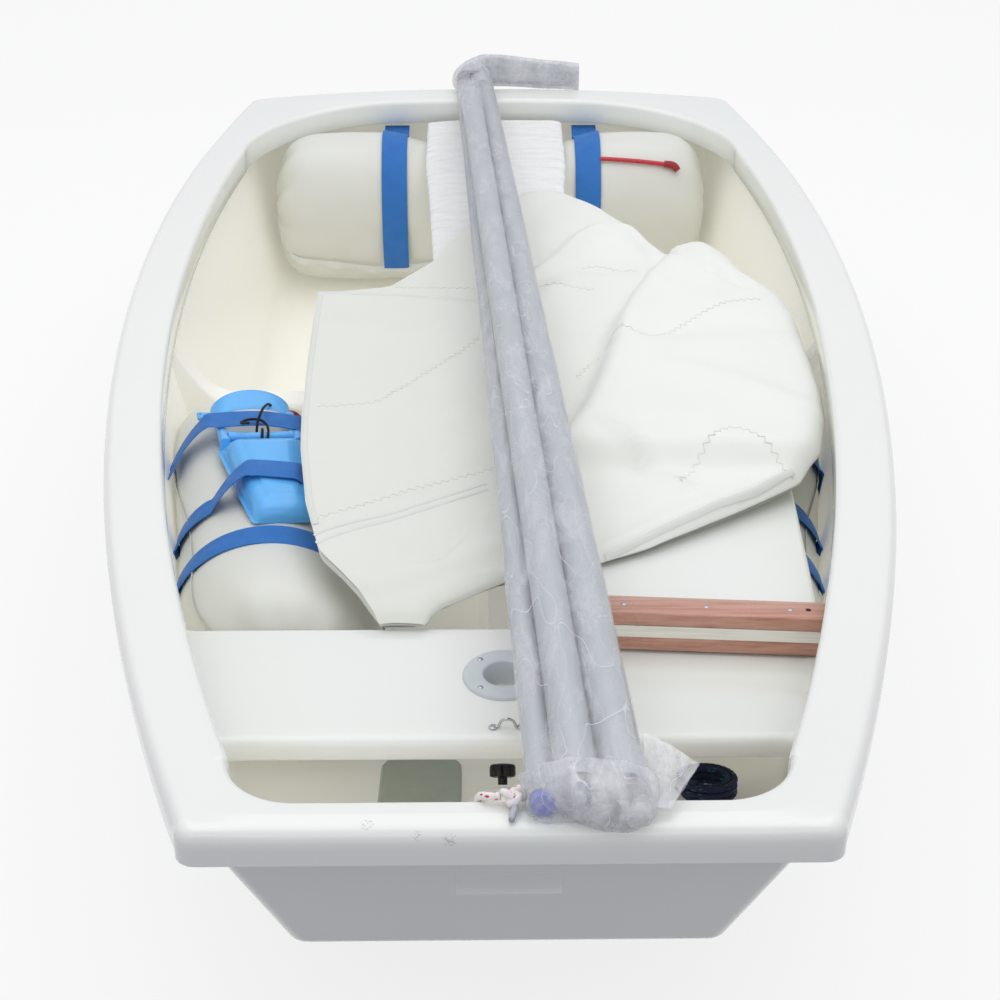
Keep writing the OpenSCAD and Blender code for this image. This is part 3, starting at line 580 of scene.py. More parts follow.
def mahogany():
    """Planed and varnished mahogany: grain and open pores run along the batten, under gloss."""
    tree, body, relief, place = surface(
        "mahogany", "#d3a18c", "#c48f79", 0.3, patch=0.09, bump=0.06, grain=0.002, coat=0.4
    )
    stretch = add(tree, "VectorMath", {0: place, 1: (7.0, 190.0, 190.0)}, operation="MULTIPLY")
    grain = add(
        tree, "TexNoise", {"Vector": stretch.outputs[0], "Scale": 1.0, "Detail": 5.0, "Roughness": 0.65}
    )
    dark = add(
        tree, "MapRange",
        {"Value": grain.outputs["Fac"], "From Min": 0.45, "From Max": 0.72, "To Min": 0.0, "To Max": 0.85}
    )
    overlay(tree, body, dark.outputs[0], "#a66a55")
    pores = add(tree, "VectorMath", {0: place, 1: (40.0, 1400.0, 1400.0)}, operation="MULTIPLY")
    pore = add(tree, "TexNoise", {"Vector": pores.outputs[0], "Scale": 1.0, "Detail": 2.0})
    emboss(tree, body, relief, pore.outputs["Fac"], 0.0002, 0.4)


def sailcloth():
    """Resin-coated woven polyester: crisp, matt, one layer greyer than two. Threads near 0.7 mm apart."""
    tree, body, relief, place = surface(
        "sailcloth", "#f6f7f1", "#eef0e8", 0.55, patch=0.25, bump=0.16, grain=0.012, sheen=0.15
    )
    body.inputs["Subsurface Weight"].default_value = 0.08
    body.inputs["Subsurface Radius"].default_value = (0.008, 0.008, 0.008)
    split = add(tree, "SeparateXYZ", {0: place})
    # painted shade: greyer towards starboard, where a single layer over the dark inside looks greyer
    single_layer_shade = add(
        tree, "MapRange",
        {"Value": split.outputs["X"], "From Min": 0.02, "From Max": 0.2, "To Min": 0.75, "To Max": 0.0}
    )
    overlay(tree, body, single_layer_shade.outputs[0], "#e2e4da")
    threads = add(tree, "TexBrick", {"Vector": place, "Scale": 700.0}, offset=0.0)
    emboss(tree, body, relief, threads.outputs["Fac"], 0.00008, 0.2)


def cushion_film(name, thin, thick, tint):
    """Clear blown polyethylene with 10 mm air bubbles: glossy, hazy in folds, white along creases.
    thin and thick are its cover where it lies single and where it is folded."""
    tree, body, relief, place = surface(
        name, tint, "#fafbfc", 0.14, patch=0.04, bump=0.25, grain=0.01, coat=0.5
    )
    cells = add(tree, "TexVoronoi", {"Vector": place, "Scale": 100.0, "Randomness": 0.25})
    dome = add(
        tree, "MapRange",
        {
            "Value": cells.outputs["Distance"], "From Min": 0.2, "From Max": 0.42, "To Min": 1.0,
            "To Max": 0.0
        }
    )
    puff = emboss(tree, body, relief, dome.outputs[0], 0.0009, 0.4)
    drawn = add(tree, "VectorMath", {0: place, 1: (46.0, 12.0, 46.0)}, operation="MULTIPLY")
    fold = add(
        tree, "TexNoise",
        {"Vector": drawn.outputs[0], "Scale": 1.0, "Detail": 5.0, "Roughness": 0.62, "Distortion": 0.6}
    )
    emboss(tree, body, puff, fold.outputs["Fac"], 0.004, 0.5)
    haze = add(
        tree, "MapRange",
        {"Value": fold.outputs["Fac"], "From Min": 0.38, "From Max": 0.66, "To Min": thin, "To Max": thick}
    )
    # painted glints: thin white lines where the film is creased, drawn more opaque
    long = add(tree, "VectorMath", {0: place, 1: (30.0, 9.0, 30.0)}, operation="MULTIPLY")
    line = add(tree, "TexNoise", {"Vector": long.outputs[0], "Scale": 1.0, "Detail": 1.0, "Roughness": 0.4})
    off = add(tree, "Math", {0: line.outputs["Fac"], 1: 0.5}, operation="SUBTRACT")
    gap = add(tree, "Math", {0: off.outputs[0]}, operation="ABSOLUTE")
    crease_glint = add(
        tree, "MapRange",
        {"Value": gap.outputs[0], "From Min": 0.0, "From Max": 0.010, "To Min": 0.6, "To Max": 0.0}
    )
    cover = add(tree, "Math", {0: haze.outputs[0], 1: crease_glint.outputs[0]}, operation="MAXIMUM")
    tree.links.new(cover.outputs[0], body.inputs["Alpha"])
    overlay(tree, body, crease_glint.outputs[0], "#ffffff")


def wrap_white():
    """Quilted white foam under wrinkled film: soft white with sharp glossy crinkles."""
    tree, body, relief, place = surface(
        "wrap_white", "#ffffff", "#fbfbf6", 0.16, patch=0.05, bump=0.4, grain=0.006, coat=0.4
    )
    stretch = add(tree, "VectorMath", {0: place, 1: (26.0, 150.0, 90.0)}, operation="MULTIPLY")
    crinkle = add(
        tree, "TexNoise",
        {"Vector": stretch.outputs[0], "Scale": 1.0, "Detail": 6.0, "Roughness": 0.7, "Distortion": 0.8}
    )
    emboss(tree, body, relief, crinkle.outputs["Fac"], 0.005, 0.6)


def rope_white_red():
    """Braided white polyester rope with red flecks in its strands."""
    tree, body, _, place = surface(
        "rope_white_red", "#f8f4f2", "#ece5e2", 0.75, patch=0.01, bump=0.4, grain=0.0012, uv=True
    )
    lanes = add(tree, "Mapping", {0: place, "Scale": (4.0, 95.0, 1.0)})
    fleck = add(tree, "TexVoronoi", {"Vector": lanes.outputs[0], "Scale": 1.5, "Randomness": 0.75})
    red = add(
        tree, "MapRange",
        {
            "Value": fleck.outputs["Distance"], "From Min": 0.26, "From Max": 0.32, "To Min": 1.0,
            "To Max": 0.0
        }
    )
    overlay(tree, body, red.outputs[0], "#d0213f")


def rope_navy():
    """Braided navy polyester rope with a green fleck."""
    tree, body, _, place = surface(
        "rope_navy", "#22335c", "#18233f", 0.7, patch=0.01, bump=0.4, grain=0.0012, uv=True
    )
    lanes = add(tree, "Mapping", {0: place, "Scale": (4.0, 60.0, 1.0)})
    fleck = add(tree, "TexVoronoi", {"Vector": lanes.outputs[0], "Scale": 1.4})
    green = add(
        tree, "MapRange",
        {
            "Value": fleck.outputs["Distance"], "From Min": 0.18, "From Max": 0.26, "To Min": 1.0,
            "To Max": 0.0
        }
    )
    overlay(tree, body, green.outputs[0], "#2f7f86")


# finishes that need no pattern of their own: two tones, roughness and what else differs
PLAIN = {
    # turned acetal: even and soft, low gloss
    "acetal_grey": ("#d3d9dc", "#c9d0d4", 0.38, {"patch": 0.05, "bump": 0.12, "grain": 0.002}),
    # polished stainless steel
    "stainless": ("#c9cacc", "#b4b6b9", 0.2, {"patch": 0.02, "grain": 0.002, "metallic": 1.0}),
    # moulded nylon
    "nylon_black": ("#1c1b1d", "#111113", 0.35, {"patch": 0.02, "bump": 0.2, "grain": 0.001}),
    # bare wood in the shade of a screw hole
    "hole_dark": ("#3a2018", "#241510", 0.8, {"patch": 0.01}),
    # extruded soft vinyl hose: smooth and wet-looking
    "hose_red": ("#d22a3c", "#b81c30", 0.28, {"patch": 0.03, "bump": 0.05, "coat": 0.3}),
    # moulded vinyl valve
    "valve_red": ("#a81f2c", "#8c1622", 0.35, {"patch": 0.02}),
    # blow-moulded polyethylene: waxy gloss with a faint ripple
    "polyethylene_blue": ("bailer_colour", "#5cb4fa", 0.24, {"patch": 0.08, "grain": 0.006, "coat": 0.2}),
    # brushed paint on plywood
    "paint_board": ("#f4f6f1", "#eff1ea", 0.2, {"patch": 0.3, "bump": 0.05, "grain": 0.01, "coat": 0.35}),
    # sailcloth tape, a double thickness; its darker tone is painted shade for the folded hems
    "sail_tape": ("#e6e8e1", "#dcdfd8", 0.6, {"patch": 0.1, "bump": 0.2}),
    # spun polyester thread
    "thread_green": ("#e9efe2", "#dbe4d4", 0.8, {"patch": 0.004, "bump": 0.3, "grain": 0.0006}),
    # drawn and anodised aluminium tube: silky, its oxide dulls the metal
    "aluminium_anodised": (
        "#c3c7cb", "#b5babf", 0.42, {"patch": 0.05, "bump": 0.05, "grain": 0.003, "metallic": 0.35}
    ),
    # moulded plugs in the spar ends
    "plug_blue": ("#6d78d2", "#555fbd", 0.4, {"patch": 0.01, "bump": 0.2}),
    # whipping twine on a rope's end
    "rope_end_grey": ("#c3c6cb", "#a9adb4", 0.6, {"patch": 0.006, "bump": 0.4, "grain": 0.001}),
    # closed-cell foam: dry, finely pitted
    "foam_pad": ("#d3dbd0", "#c5cdc2", 0.85, {"patch": 0.02, "bump": 0.6, "grain": 0.0015}),
}


def make_materials():
    """Makes every finish; the three films differ in cover and tint."""
    for name, (light, dark, rough, more) in PLAIN.items():
        surface(name, light, dark, rough, **more)
    for make in (
        gelcoat_white, gelcoat_inside, bag_cloth, webbing_blue, cord_black, ply_edge, mahogany, sailcloth
    ):
        make()
    cushion_film("film_bubble", 0.18, 0.46, "#e6e8ec")
    cushion_film("film_end", 0.24, 0.62, "#eceef2")
    cushion_film("film_grey", 0.38, 0.72, "#a9aeb8")
    for make in (wrap_white, rope_white_red, rope_navy):
        make()


# ---- hull -------------------------------------------------------------------


def hull_section(yt, yf, inside):
    """Points from the port rail down, across and up to starboard, on one slant plane."""
    t = SKIN if inside else 0.0
    xt = rim_x(yt) - 30 + 19 * (1 - smooth(60, 420, yt)) - t
    zt = sheer(yt) - RAIL_DROP
    xf, zf = chine_x(yf) - t * 0.9, keel(yf) + t
    r = 46.0 if inside else mix(14, 24, smooth(126, 500, yf))
    run = math.hypot(xt - xf, zt - zf)
    ux, uz = (xt - xf) / run, (zt - zf) / run
    pts = [(mix(xt, xf + ux * r, k / 9), mix(zt, zf + uz * r, k / 9)) for k in range(9)]
    for k in range(8):
        s = k / 7
        a, b, c = (1 - s) ** 2, 2 * s * (1 - s), s * s
        pts.append((a * (xf + ux * r) + b * xf + c * (xf - r), a * (zf + uz * r) + b * zf + c * zf))
    pts += [(mix(xf - r, 0, k / 6), zf) for k in range(1, 6)]
    both = pts + [(0.0, zf)] + [(-x, z) for x, z in reversed(pts)]
    return [(x, mix(yf, yt, (z - zf) / (zt - zf)), z) for x, z in both]


def build_hull():
    """Hull shell with its own inner finish, rounded corners and the slot, and the bow plate."""
    n = 60

    def sections(t, inside):
        ends = [
            (mix(BOW_TOP + t, STERN_TOP - t, i / n), mix(BOW_FOOT + t, STERN_FOOT - t, i / n))
            for i in range(n + 1)
        ]
        return [hull_section(yt, yf, inside) for yt, yf in ends]

    outer, inner = sections(0, False), sections(SKIN, True)
    m = len(outer[0])
    v0, f0 = skin(outer, closed=False, caps=False)
    v1, f1 = skin(inner, closed=False, caps=False)
    verts, faces = join((v0, f0), (v1, f1))
    k = len(v0)
    inside = [0] * len(f0) + [1] * len(f1)
    for i in range(n):
        for j in (0, m - 1):
            faces.append((i * m + j, (i + 1) * m + j, k + (i + 1) * m + j, k + i * m + j))
            inside.append(0)
    # the stern's top edge is crowned to follow the rim
    crowns = []
    for ring, t in ((outer[n], 0), (inner[n], SKIN)):
        yt, yf = STERN_TOP - t, STERN_FOOT - t
        x0, z0, zk = ring[0][0], ring[0][2], keel(yf)
        row = []
        for j in range(1, 12):
            x = mix(-x0, x0, j / 12)
            z = z0 + rim_z(x, yt) - rim_z(x0, yt)
            row.append(len(verts))
            verts.append((x, mix(yf, yt, (z - zk) / (z0 - zk)), z))
        crowns.append(row)
    faces.append(tuple(range(m)))
    faces.append(tuple(k + j for j in range(m)))
    faces.append(tuple(n * m + j for j in range(m)) + tuple(crowns[0]))
    faces.append(tuple(k + n * m + j for j in range(m)) + tuple(crowns[1]))
    inside += [0, 1, 0, 1]
    faces.append((0, m - 1, k + m - 1, k))
    inside.append(0)
    top = [n * m + m - 1] + crowns[0] + [n * m]
    low = [k + n * m + m - 1] + crowns[1] + [k + n * m]
    for a, b, c, d in zip(top, top[1:], low[1:], low):
        faces.append((a, b, c, d))
        inside.append(0)
    ob = piece(
        "hull_shell", verts, faces, [MATS["gelcoat_white"], MATS["gelcoat_inside"]], sharp=180,
        replaces=("bottom_panel", "side_starboard", "side_port", "transom_bow", "transom_stern"),
        picks=inside,
    )
    bm = bmesh.new()
    bm.from_mesh(ob.data)
    bm.verts.ensure_lookup_table()
    loops = []
    for base, width in ((0, 11.0), (n * m, 11.0), (k, 26.0), (k + n * m, 32.0)):
        edges = []
        for e in bm.edges:
            a, b = sorted(v.index for v in e.verts)
            if base <= a and b == a + 1 and b < base + m:
                edges.append(e)
        loops.append((edges, width))
    for edges, width in loops:
        bmesh.ops.bevel(
            bm, geom=[e for e in edges if e.is_valid], offset=width / 1000, segments=5, profile=0.5,
            affect="EDGES", clamp_overlap=True, material=0 if width < 12 else 1
        )
    for f in bm.faces:
        f.smooth = True
    bm.to_mesh(ob.data)
    bm.free()
    cut(ob, *rounded_box((17, 330, 60), 2, 1, Matrix.Translation((0, 1091, 10))))
    ob.data.set_sharp_from_angle(angle=math.radians(50))
    mod = ob.modifiers.new("even", "WEIGHTED_NORMAL")
    mod.keep_sharp = True
    mod.weight = 60
    # blank moulded plate on the bow
    lean = math.atan2(96, 256)
    turn = Matrix.Translation((0, 77.6, 325.6)) @ Matrix.Rotation(lean, 4, "X")
    v, f = rounded_box((108, 1.6, 47), 0.7, 2, turn)
    piece("bow_plate", v, f, MATS["gelcoat_white"])


def rim_edges():
    """Outer and inner edge of the rim from mid bow to mid stern, matched point for point."""
    outer = [(40 * i, 0) for i in range(5)]
    outer += [(200 + 90 * i / 5, 0) for i in range(5)]
    outer += arc(rim_x(22) - 22, 22, 22, 22, -90, 0, 4)
    outer += [(rim_x(22 + 20 * i), 22 + 20 * i) for i in range(1, 5)]
    outer += [(rim_x(y), y) for y in (mix(122, 2080, i / 26) for i in range(27))]
    outer += [(rim_x(y), y) for y in (mix(2080, 2326, i / 9) for i in range(1, 10))]
    outer += arc(476, 2326, 14, 14, 33.75, 90, 3)
    outer += [(mix(476, 240, i / 9), 2340) for i in range(1, 10)]
    outer += [(240 * (1 - i / 5), 2340) for i in range(1, 6)]
    bx, sx = rim_x(126) - RIM_WIDTH, rim_x(2010) - RIM_WIDTH
    inner = [(40 * i, 52) for i in range(5)]
    inner += arc(bx - 74, 126, 74, 74, -90, 0, 14)[:-1]
    inner += [(rim_x(y) - RIM_WIDTH, y) for y in (mix(126, 2010, i / 26) for i in range(27))]
    inner += [oval(190, 2010, sx - 190, 252, 90 * (i / 22) ** 1.1) for i in range(1, 23)]
    inner += [(190 * (1 - i / 5), 2262) for i in range(1, 6)]
    return outer, inner


def build_rim():
    """Rolled rim: outer flange, flat face and a lip that turns down inside."""
    def whole(row):
        return row + [(-x, y) for x, y in reversed(row[1:-1])]

    def finer(row, k=3):
        n, out = len(row), []
        for i in range(n):
            a, b, c, d = (Vector(row[(i + q) % n]) for q in (-1, 0, 1, 2))
            out += [between(a, b, c, d, j / k) for j in range(k)]
        return out

    outer, inner = (finer(whole(row)) for row in rim_edges())
    rings = []
    for o, i in zip(outer, inner):
        w = (i - o).length
        d = (i - o) / w
        zo, zi = rim_z(*o), rim_z(*i)
        lip = mix(18, 46, smooth(52, 112, i[1]))
        prof = [(0, 40), (0, 30), (0, 22)]
        prof += arc(15, 17, 15, 17, 190, 270, 5)
        prof += [(24, 0), (mix(24, w - 20, 0.33), -0.6), (mix(24, w - 20, 0.66), -0.6), (w - 16, 0)]
        prof += arc(w - 9, 10, 9, 10, -82, -10, 4)
        prof += [
            (w, max(12, lip * 0.55)), (w, lip - 1.5), (w - 1.5, lip), (w - 4.5, lip), (w - 6, lip - 1.5)
        ]
        prof += [(w - 6, 15), (w - 15, 6.4), (18, 6.4), (6, 18), (6, 38.5), (4.5, 40), (1.5, 40)]
        ring = []
        for s, h in prof:
            p = o + d * s
            ring.append((p[0], p[1], mix(zo, zi, s / w) - h))
        rings.append(ring)
    v, f = skin(rings, loop=True)
    piece("rim_moulding", v, f, MATS["gelcoat_white"], sharp=60, replaces=("rim",))


def beam(name, outline, flare, radius, mat, replaces, us=None, width=None, rise=None):
    """Moulded beam across the hull that sweeps up into the sides at its ends.
    outline is [distance aft, height, lift share]."""
    rings = []
    us = us or [-1, -0.985, -0.965, -0.94, -0.91, -0.87, -0.82, -0.7, -0.5, -0.25, 0]
    us = us + [-u for u in reversed(us[:-1])]
    mid = 0.5 * (outline[0][0] + outline[-1][0])
    for u in us:
        ring = []
        for y, z, k in outline:
            e = (1 - abs(u)) * hull_x(y, z)
            lift = radius - math.sqrt(max(0.0, radius**2 - (radius - e) ** 2)) if e < radius else 0.0
            if rise:
                lift = rise(e)
            yy = y + flare * (lift / radius) * (1 if y > mid else -1)
            if width:
                yy = mid + (y - mid) * width(e)
            zz = z + lift * k
            ring.append((u * hull_x(yy, zz), yy, zz))
        rings.append(ring)
    v, f = skin(rings)
    return piece(name, v, f, mat, sharp=50, replaces=replaces)


def build_thwart():
    """Thwart that sweeps up into the sides, with the hole for the collar."""
    top, low, y0, y1, t = THWART_Z, THWART_Z - 26, 290.0, 514.0, 7.0
    front = [(y0 + 1.5, low, 0), (y0, low + 1.5, 0), (y0, top - 13, 1)]
    front += [(y, z, 1) for y, z in arc(y0 + 12, top - 12, 12, 12, 165, 90, 5)]
    flat = [(mix(y0 + 12, y1 - 8, q / 9), top, 1) for q in range(1, 9)]
    back = [(y, z, 1) for y, z in arc(y1 - 8, top - 8, 8, 8, 90, 0, 5)]
    back += [(y1, low + 1.5, 0), (y1 - 1.5, low, 0), (y1 - t, low, 0)]
    under = [
        (y1 - t, top - t - 8, 1), (y1 - t - 7, top - t, 1), (y0 + t + 10, top - t, 1),
        (y0 + t, top - t - 9, 1), (y0 + t, low, 0)
    ]
    ob = beam(
        "mast_thwart_moulding", front + flat + back + under, 16, 34.0, MATS["gelcoat_white"],
        ("mast_thwart",)
    )
    cut(ob, *lathe([(33, -60), (33, 60)], (0, MAST_Y, THWART_Z)))


def build_collar():
    """Turned collar with a chamfered mouth, and its four screws."""
    prof = [
        (24, -29), (24, 2.4), (24.5, 3.4), (25.8, 4.2), (27.5, 4.5), (44.5, 4.5), (46.2, 4.3), (47.6, 3.2),
        (48.8, 1.0), (49, 0.05)
    ]
    prof += [(33, 0.02), (32.6, -0.5), (32.6, -30), (25, -30), (24, -29)]
    v, f = lathe(prof, (0, MAST_Y, THWART_Z), 72, caps=False)
    piece("collar_ring", v, f, MATS["acetal_grey"], replaces=("mast_collar",))
    heads = []
    for k in range(4):
        a = math.radians(45 + 90 * k)
        heads.append(screw((39 * math.cos(a), MAST_Y + 39 * math.sin(a), THWART_Z + 4.4), 3.4, 20 * k))
    v, f = join(*heads)
    piece("collar_screw_heads", v, f, MATS["stainless"], replaces=("collar_screws",))


def build_saddle():
    """Two eyelets and a bent bridge."""
    c = Vector((2, 314, THWART_Z))
    parts = []
    for s in (-1, 1):
        prof = [(2.0, 0.2), (2.0, 1.6), (2.8, 2.4), (4.4, 2.2), (5.2, 1.3), (5.2, 0.1)]
        v, f = lathe(prof, c + Vector((16 * s, 0, 0)), 24)
        parts.append((v, f))
        parts.append(screw(c + Vector((16 * s, 0, 1.2)), 2.2, 30))
    bridge = [
        (-13, 0, 1.6), (-10, 0, 2.2), (-8.6, 0, 5.5), (-6, 0, 10.2), (0, 0, 12.4), (6, 0, 10.2),
        (8.6, 0, 5.5), (10, 0, 2.2), (13, 0, 1.6)
    ]
    v, f, _ = tube([c + q for q in spline(bridge, 5)], 1.7, 10)
    parts.append((v, f))
    v, f = join(*parts)
    piece("thwart_saddle", v, f, MATS["stainless"], replaces=("saddle_eye",))


def screw(at, r, turn, matrix=None):
    """Domed screw head with a cross slot."""
    prof = [(r, 0.0), (r, 0.25), (r * 0.9, 0.6), (r * 0.62, 0.95), (r * 0.3, 1.1), (0.05, 1.12)]
    v, f = lathe(prof, (0, 0, 0), 20)
    parts = [(v, f)]
    for k in range(2):
        m = Matrix.Rotation(math.radians(turn + 90 * k), 4, "Z") @ Matrix.Translation((0, 0, 1.05))
        parts.append(rounded_box((r * 1.1, r * 0.22, 0.35), 0.05, 1, m))
    v, f = join(*parts)
    m = (matrix or Matrix.Identity(4)) @ Matrix.Translation(at)
    return [m @ Vector(p) for p in v], f


def build_frame():
    """Low frame across the floor, its ends swept up into knees, with four drain holes."""
    top, y0, y1 = 255.0, FRAME_Y, FRAME_Y + 58
    low = floor_z(y1) + 0.3
    rows = [(y0, low, 0), (y0, mix(low, top, 0.5), 0.5), (y0, top - 16, 1)]
    rows += [(y, z, 1) for y, z in arc(y0 + 15, top - 15, 15, 15, 162, 90, 4)]
    rows += [(mix(y0 + 15, y1 - 15, 0.5), top + 0.4, 1)]
    rows += [(y, z, 1) for y, z in arc(y1 - 15, top - 15, 15, 15, 90, 18, 4)]
    rows += [(y1, top - 16, 1), (y1, mix(low, top, 0.5), 0.5), (y1, low, 0)]
    knee = 84.0

    def rise(e):
        return 118 * max(0.0, 1 - e / knee) ** 2.3

    def width(e):
        return mix(0.62, 1.0, smooth(0, 1, e / knee))

    us = [
        -1, -0.99, -0.98, -0.965, -0.95, -0.93, -0.91, -0.885, -0.86, -0.83, -0.8, -0.76, -0.7, -0.5,
        -0.25, 0
    ]
    ob = beam(
        "frame_moulding", rows, 0, 1.0, MATS["gelcoat_inside"], ("midship_frame",), us=us, width=width,
        rise=rise
    )
    for x in (-330, -110, 110, 330):
        cut(ob, *rounded_box((68, 90, 26), 9, 3, Matrix.Translation((x, y0 + 29, 27))))


def build_step():
    """Moulded mound with a socket for the mast's foot."""
    zc = floor_z(MAST_Y)
    prof = [
        (62, -12), (54, 3), (47, 14), (42, 27), (39, 31.5), (34, 33.6), (27, 34), (24.6, 33), (24, 31),
        (24, 12), (0.1, 12)
    ]
    v, f = lathe(prof, (0, MAST_Y, zc), 56)
    v = [
        Vector((p[0], p[1] + (14 if p[1] > MAST_Y else 0) * (1 - smooth(0, 34, p[2] - zc)), p[2]))
        for p in v
    ]
    piece("step_mound", v, f, MATS["gelcoat_inside"], replaces=("mast_step",))


def build_knob():
    """Clamping knob with eight lobes, on its stem."""
    prof = [
        (0.05, -1), (0.7, -1), (0.94, 0), (1, 2), (1, 12), (0.95, 14.2), (0.82, 15.4), (0.5, 16.2),
        (0.05, 16.4)
    ]
    at = Matrix.Translation((0, MAST_Y + 61, floor_z(MAST_Y) + 29.4))
    m = at @ Matrix.Rotation(math.radians(-42), 4, "X")
    rings = []
    for k, z in prof:
        ring = []
        for a in circle(64):
            r = k * (16.6 - 2.6 * max(0.0, math.cos(8 * a)) ** 2 * (1 if k > 0.6 else 0))
            ring.append(m @ Vector((r * math.cos(a), r * math.sin(a), z)))
        rings.append(ring)
    v, f = skin(rings)
    stem = lathe([(6, -10), (6, -1)], (0, 0, 0), 24, m)
    v, f = join((v, f), stem)
    piece("knob_lobed", v, f, MATS["nylon_black"], sharp=35, replaces=("step_knob",))


def build_pad():
    """Foam pad on the floor behind the step."""
    rows = []
    for i in range(15):
        y = mix(446, 580, i / 14)
        k = 5 * (1 - math.sqrt(max(0.0, 1 - max(0.0, abs(2 * i / 14 - 1) * 1.12 - 0.12) ** 6)))
        z = floor_z(y) + 0.6
        x0, x1 = -158 + k, -52 - k
        row = [(x0, z + 2), (x0, z + 9), (x0 + 3, z + 12)]
        row += [(mix(x0 + 3, x1 - 3, q / 6), z + 12 + 0.8 * waves(q * 30, y, 0, 30)) for q in range(1, 6)]
        row += [(x1 - 3, z + 12), (x1, z + 9), (x1, z + 2), (x1 - 2, z), (x0 + 2, z)]
        rows.append([(x, y, h) for x, h in row])
    v, f = skin(rows)
    ob = piece("bow_foam", v, f, MATS["foam_pad"], replaces=("bow_pad",))


# ---- air bags and webbing ---------------------------------------------------

BAG0, BAG1 = 548.0, 1263.0  # ends of a side bag
# each strap: y over the bag's top, at the side and at the floor; then, from the bailer's middle,
# the outboard edge it bears on, its height, the inboard edge and its height
STRAPS = (
    (752, 722, 716, 0, 0, 0, 0), (882, 842, 848, 12, 54.4, -58, 48.4), (1080, 970, 972, 90, 36, -40, 20)
)
BAIL_X, BAIL_Y, BAIL_Z = 338.0, 985.0, floor_z(985) + 0.5 + 2 * BAG_R


def bag_full(y):
    """Share of its full girth that a side bag has along its length."""
    u = 2 * (y - BAG0) / (BAG1 - BAG0) - 1
    return max(0.2, max(0.0, 1 - abs(u) ** 10) ** 0.42)


def bag_pt(y, a, o=0.0):
    """Point on the port bag, a degrees up from outboard and o outside its skin."""
    z0 = floor_z(y) + 0.5 + BAG_R
    x0 = hull_x(y, z0) - 4 - BAG_R + 28
    r = BAG_R * bag_full(y) + o
    if 0 < a < 90:
        r += mix(4, 42, smooth(780, 1100, y)) * bag_full(y) * math.sin(math.radians(2 * a)) ** 2
    z = z0 + r * math.sin(math.radians(a))
    return Vector((min(x0 + r * math.cos(math.radians(a)), hull_x(y, z) - 4 + o), y, z))


def strap_y(q, a):
    """Place along the boat of a strap, a degrees round the bag from outboard."""
    if a < 90:
        return mix(q[0], q[1], ((90 - a) / 75) ** 1.5)
    return mix(q[0], q[2], ((a - 90) / 105) ** 2)


def bridge(q, x):
    """Height of a strap that is held up by the bailer."""
    x -= BAIL_X
    if x > q[3]:
        return BAIL_Z + q[4] - (0.55 + 0.011 * (x - q[3])) * (x - q[3])
    if x > q[5]:
        return BAIL_Z + mix(q[6], q[4], (x - q[5]) / (q[3] - q[5]))
    return BAIL_Z + q[6] - 0.9 * (q[5] - x)


def strap_pt(q, a, o, over):
    """Point on a strap's middle line, o above the bag."""
    p = bag_pt(strap_y(q, a), a, 0.4 + o)
    if over and 20 < a < 140:
        p[2] = max(p[2], bridge(q, p[0]) + o)
    return p


def pinch(y, a):
    """How far the webbing presses into the bag."""
    if not 10 < a < 200:
        return 0.0
    return sum(bell(y - strap_y(q, a), 26) for q in STRAPS)


def side_bag(name, side, node):
    """Air bag along one side, its ends gathered and its skin pinched by the straps."""
    rings, n, m = [], 96, 80
    for i in range(n + 1):
        s = 0.5 - 0.5 * math.cos(math.pi * i / n)
        y = mix(BAG0, BAG1, s)
        end = max(bell(y - BAG0, 46), bell(y - BAG1, 46))
        ring = []
        for j in range(m):
            a = 360 * j / m
            o = -2.4 * pinch(y, a if a < 300 else a - 360)
            o -= end * (
                3.2 + 3.0 * math.cos(math.radians(13 * a + 40 * side)) + 1.5 * math.cos(math.radians(7 * a))
            )
            o += 1.2 * waves(a * 1.4, y, 9 * side, 90) - 1.0 + 0.6 * waves(a * 1.4, y, 5, 28)
            p = bag_pt(y, a, o)
            ring.append((p[0] * side, p[1], p[2]))
        rings.append(ring)
    v, f = skin(rings)
    # welded seam along the outboard shoulder and round both ends
    strip = []
    for i in range(121):
        t = i / 120
        y = mix(BAG0 + 4, BAG1 - 4, t)
        a = 38 + 5 * math.sin(5 * t)
        base = bag_pt(y, a, -1.5 - 2.2 * pinch(y, a))
        tip = bag_pt(y, a + 1.2, 2.6 - 3.0 * pinch(y, a))
        lip = (base, tip, tip + Vector((-0.8, 0, 0.8)), base + Vector((-1.4, 0, 1.4)))
        strip.append([(p[0] * side, p[1], p[2]) for p in lip])
    v, f = join((v, f), skin(strip))
    ob = piece(name, v, f, MATS["bag_cloth"], sharp=70, replaces=(node,))


def webbing(name, bands, replaces, thick=1.7):
    """bands are rows of (left edge, right edge, outward) points along each strap."""
    verts, faces, uvs = [], [], []
    for rows in bands:
        run, last = 0.0, None
        rings = []
        for a, b, out in rows:
            mid = (a + b) / 2
            run += (mid - last).length if last else 0.0
            last = mid
            w = (b - a).length / 1000
            top = [
                a.lerp(b, t) + out * thick * (0.75 if t in (0, 1) else 1.0)
                for t in (0, 0.04, 0.35, 0.65, 0.96, 1)
            ]
            low = [b.lerp(a, t) for t in (0, 0.5, 1)]
            rings.append(top + low)
            uvs += [(w * t, run / 1000) for t in (0, 0.04, 0.35, 0.65, 0.96, 1, 1, 0.5, 0)]
        v, f = skin(rings)
        k = len(verts)
        verts += v
        faces += [tuple(i + k for i in face) for face in f]
    return piece(
        name, verts, faces, MATS["webbing_blue"], sharp=60, replaces=replaces, uvs=uvs
    )


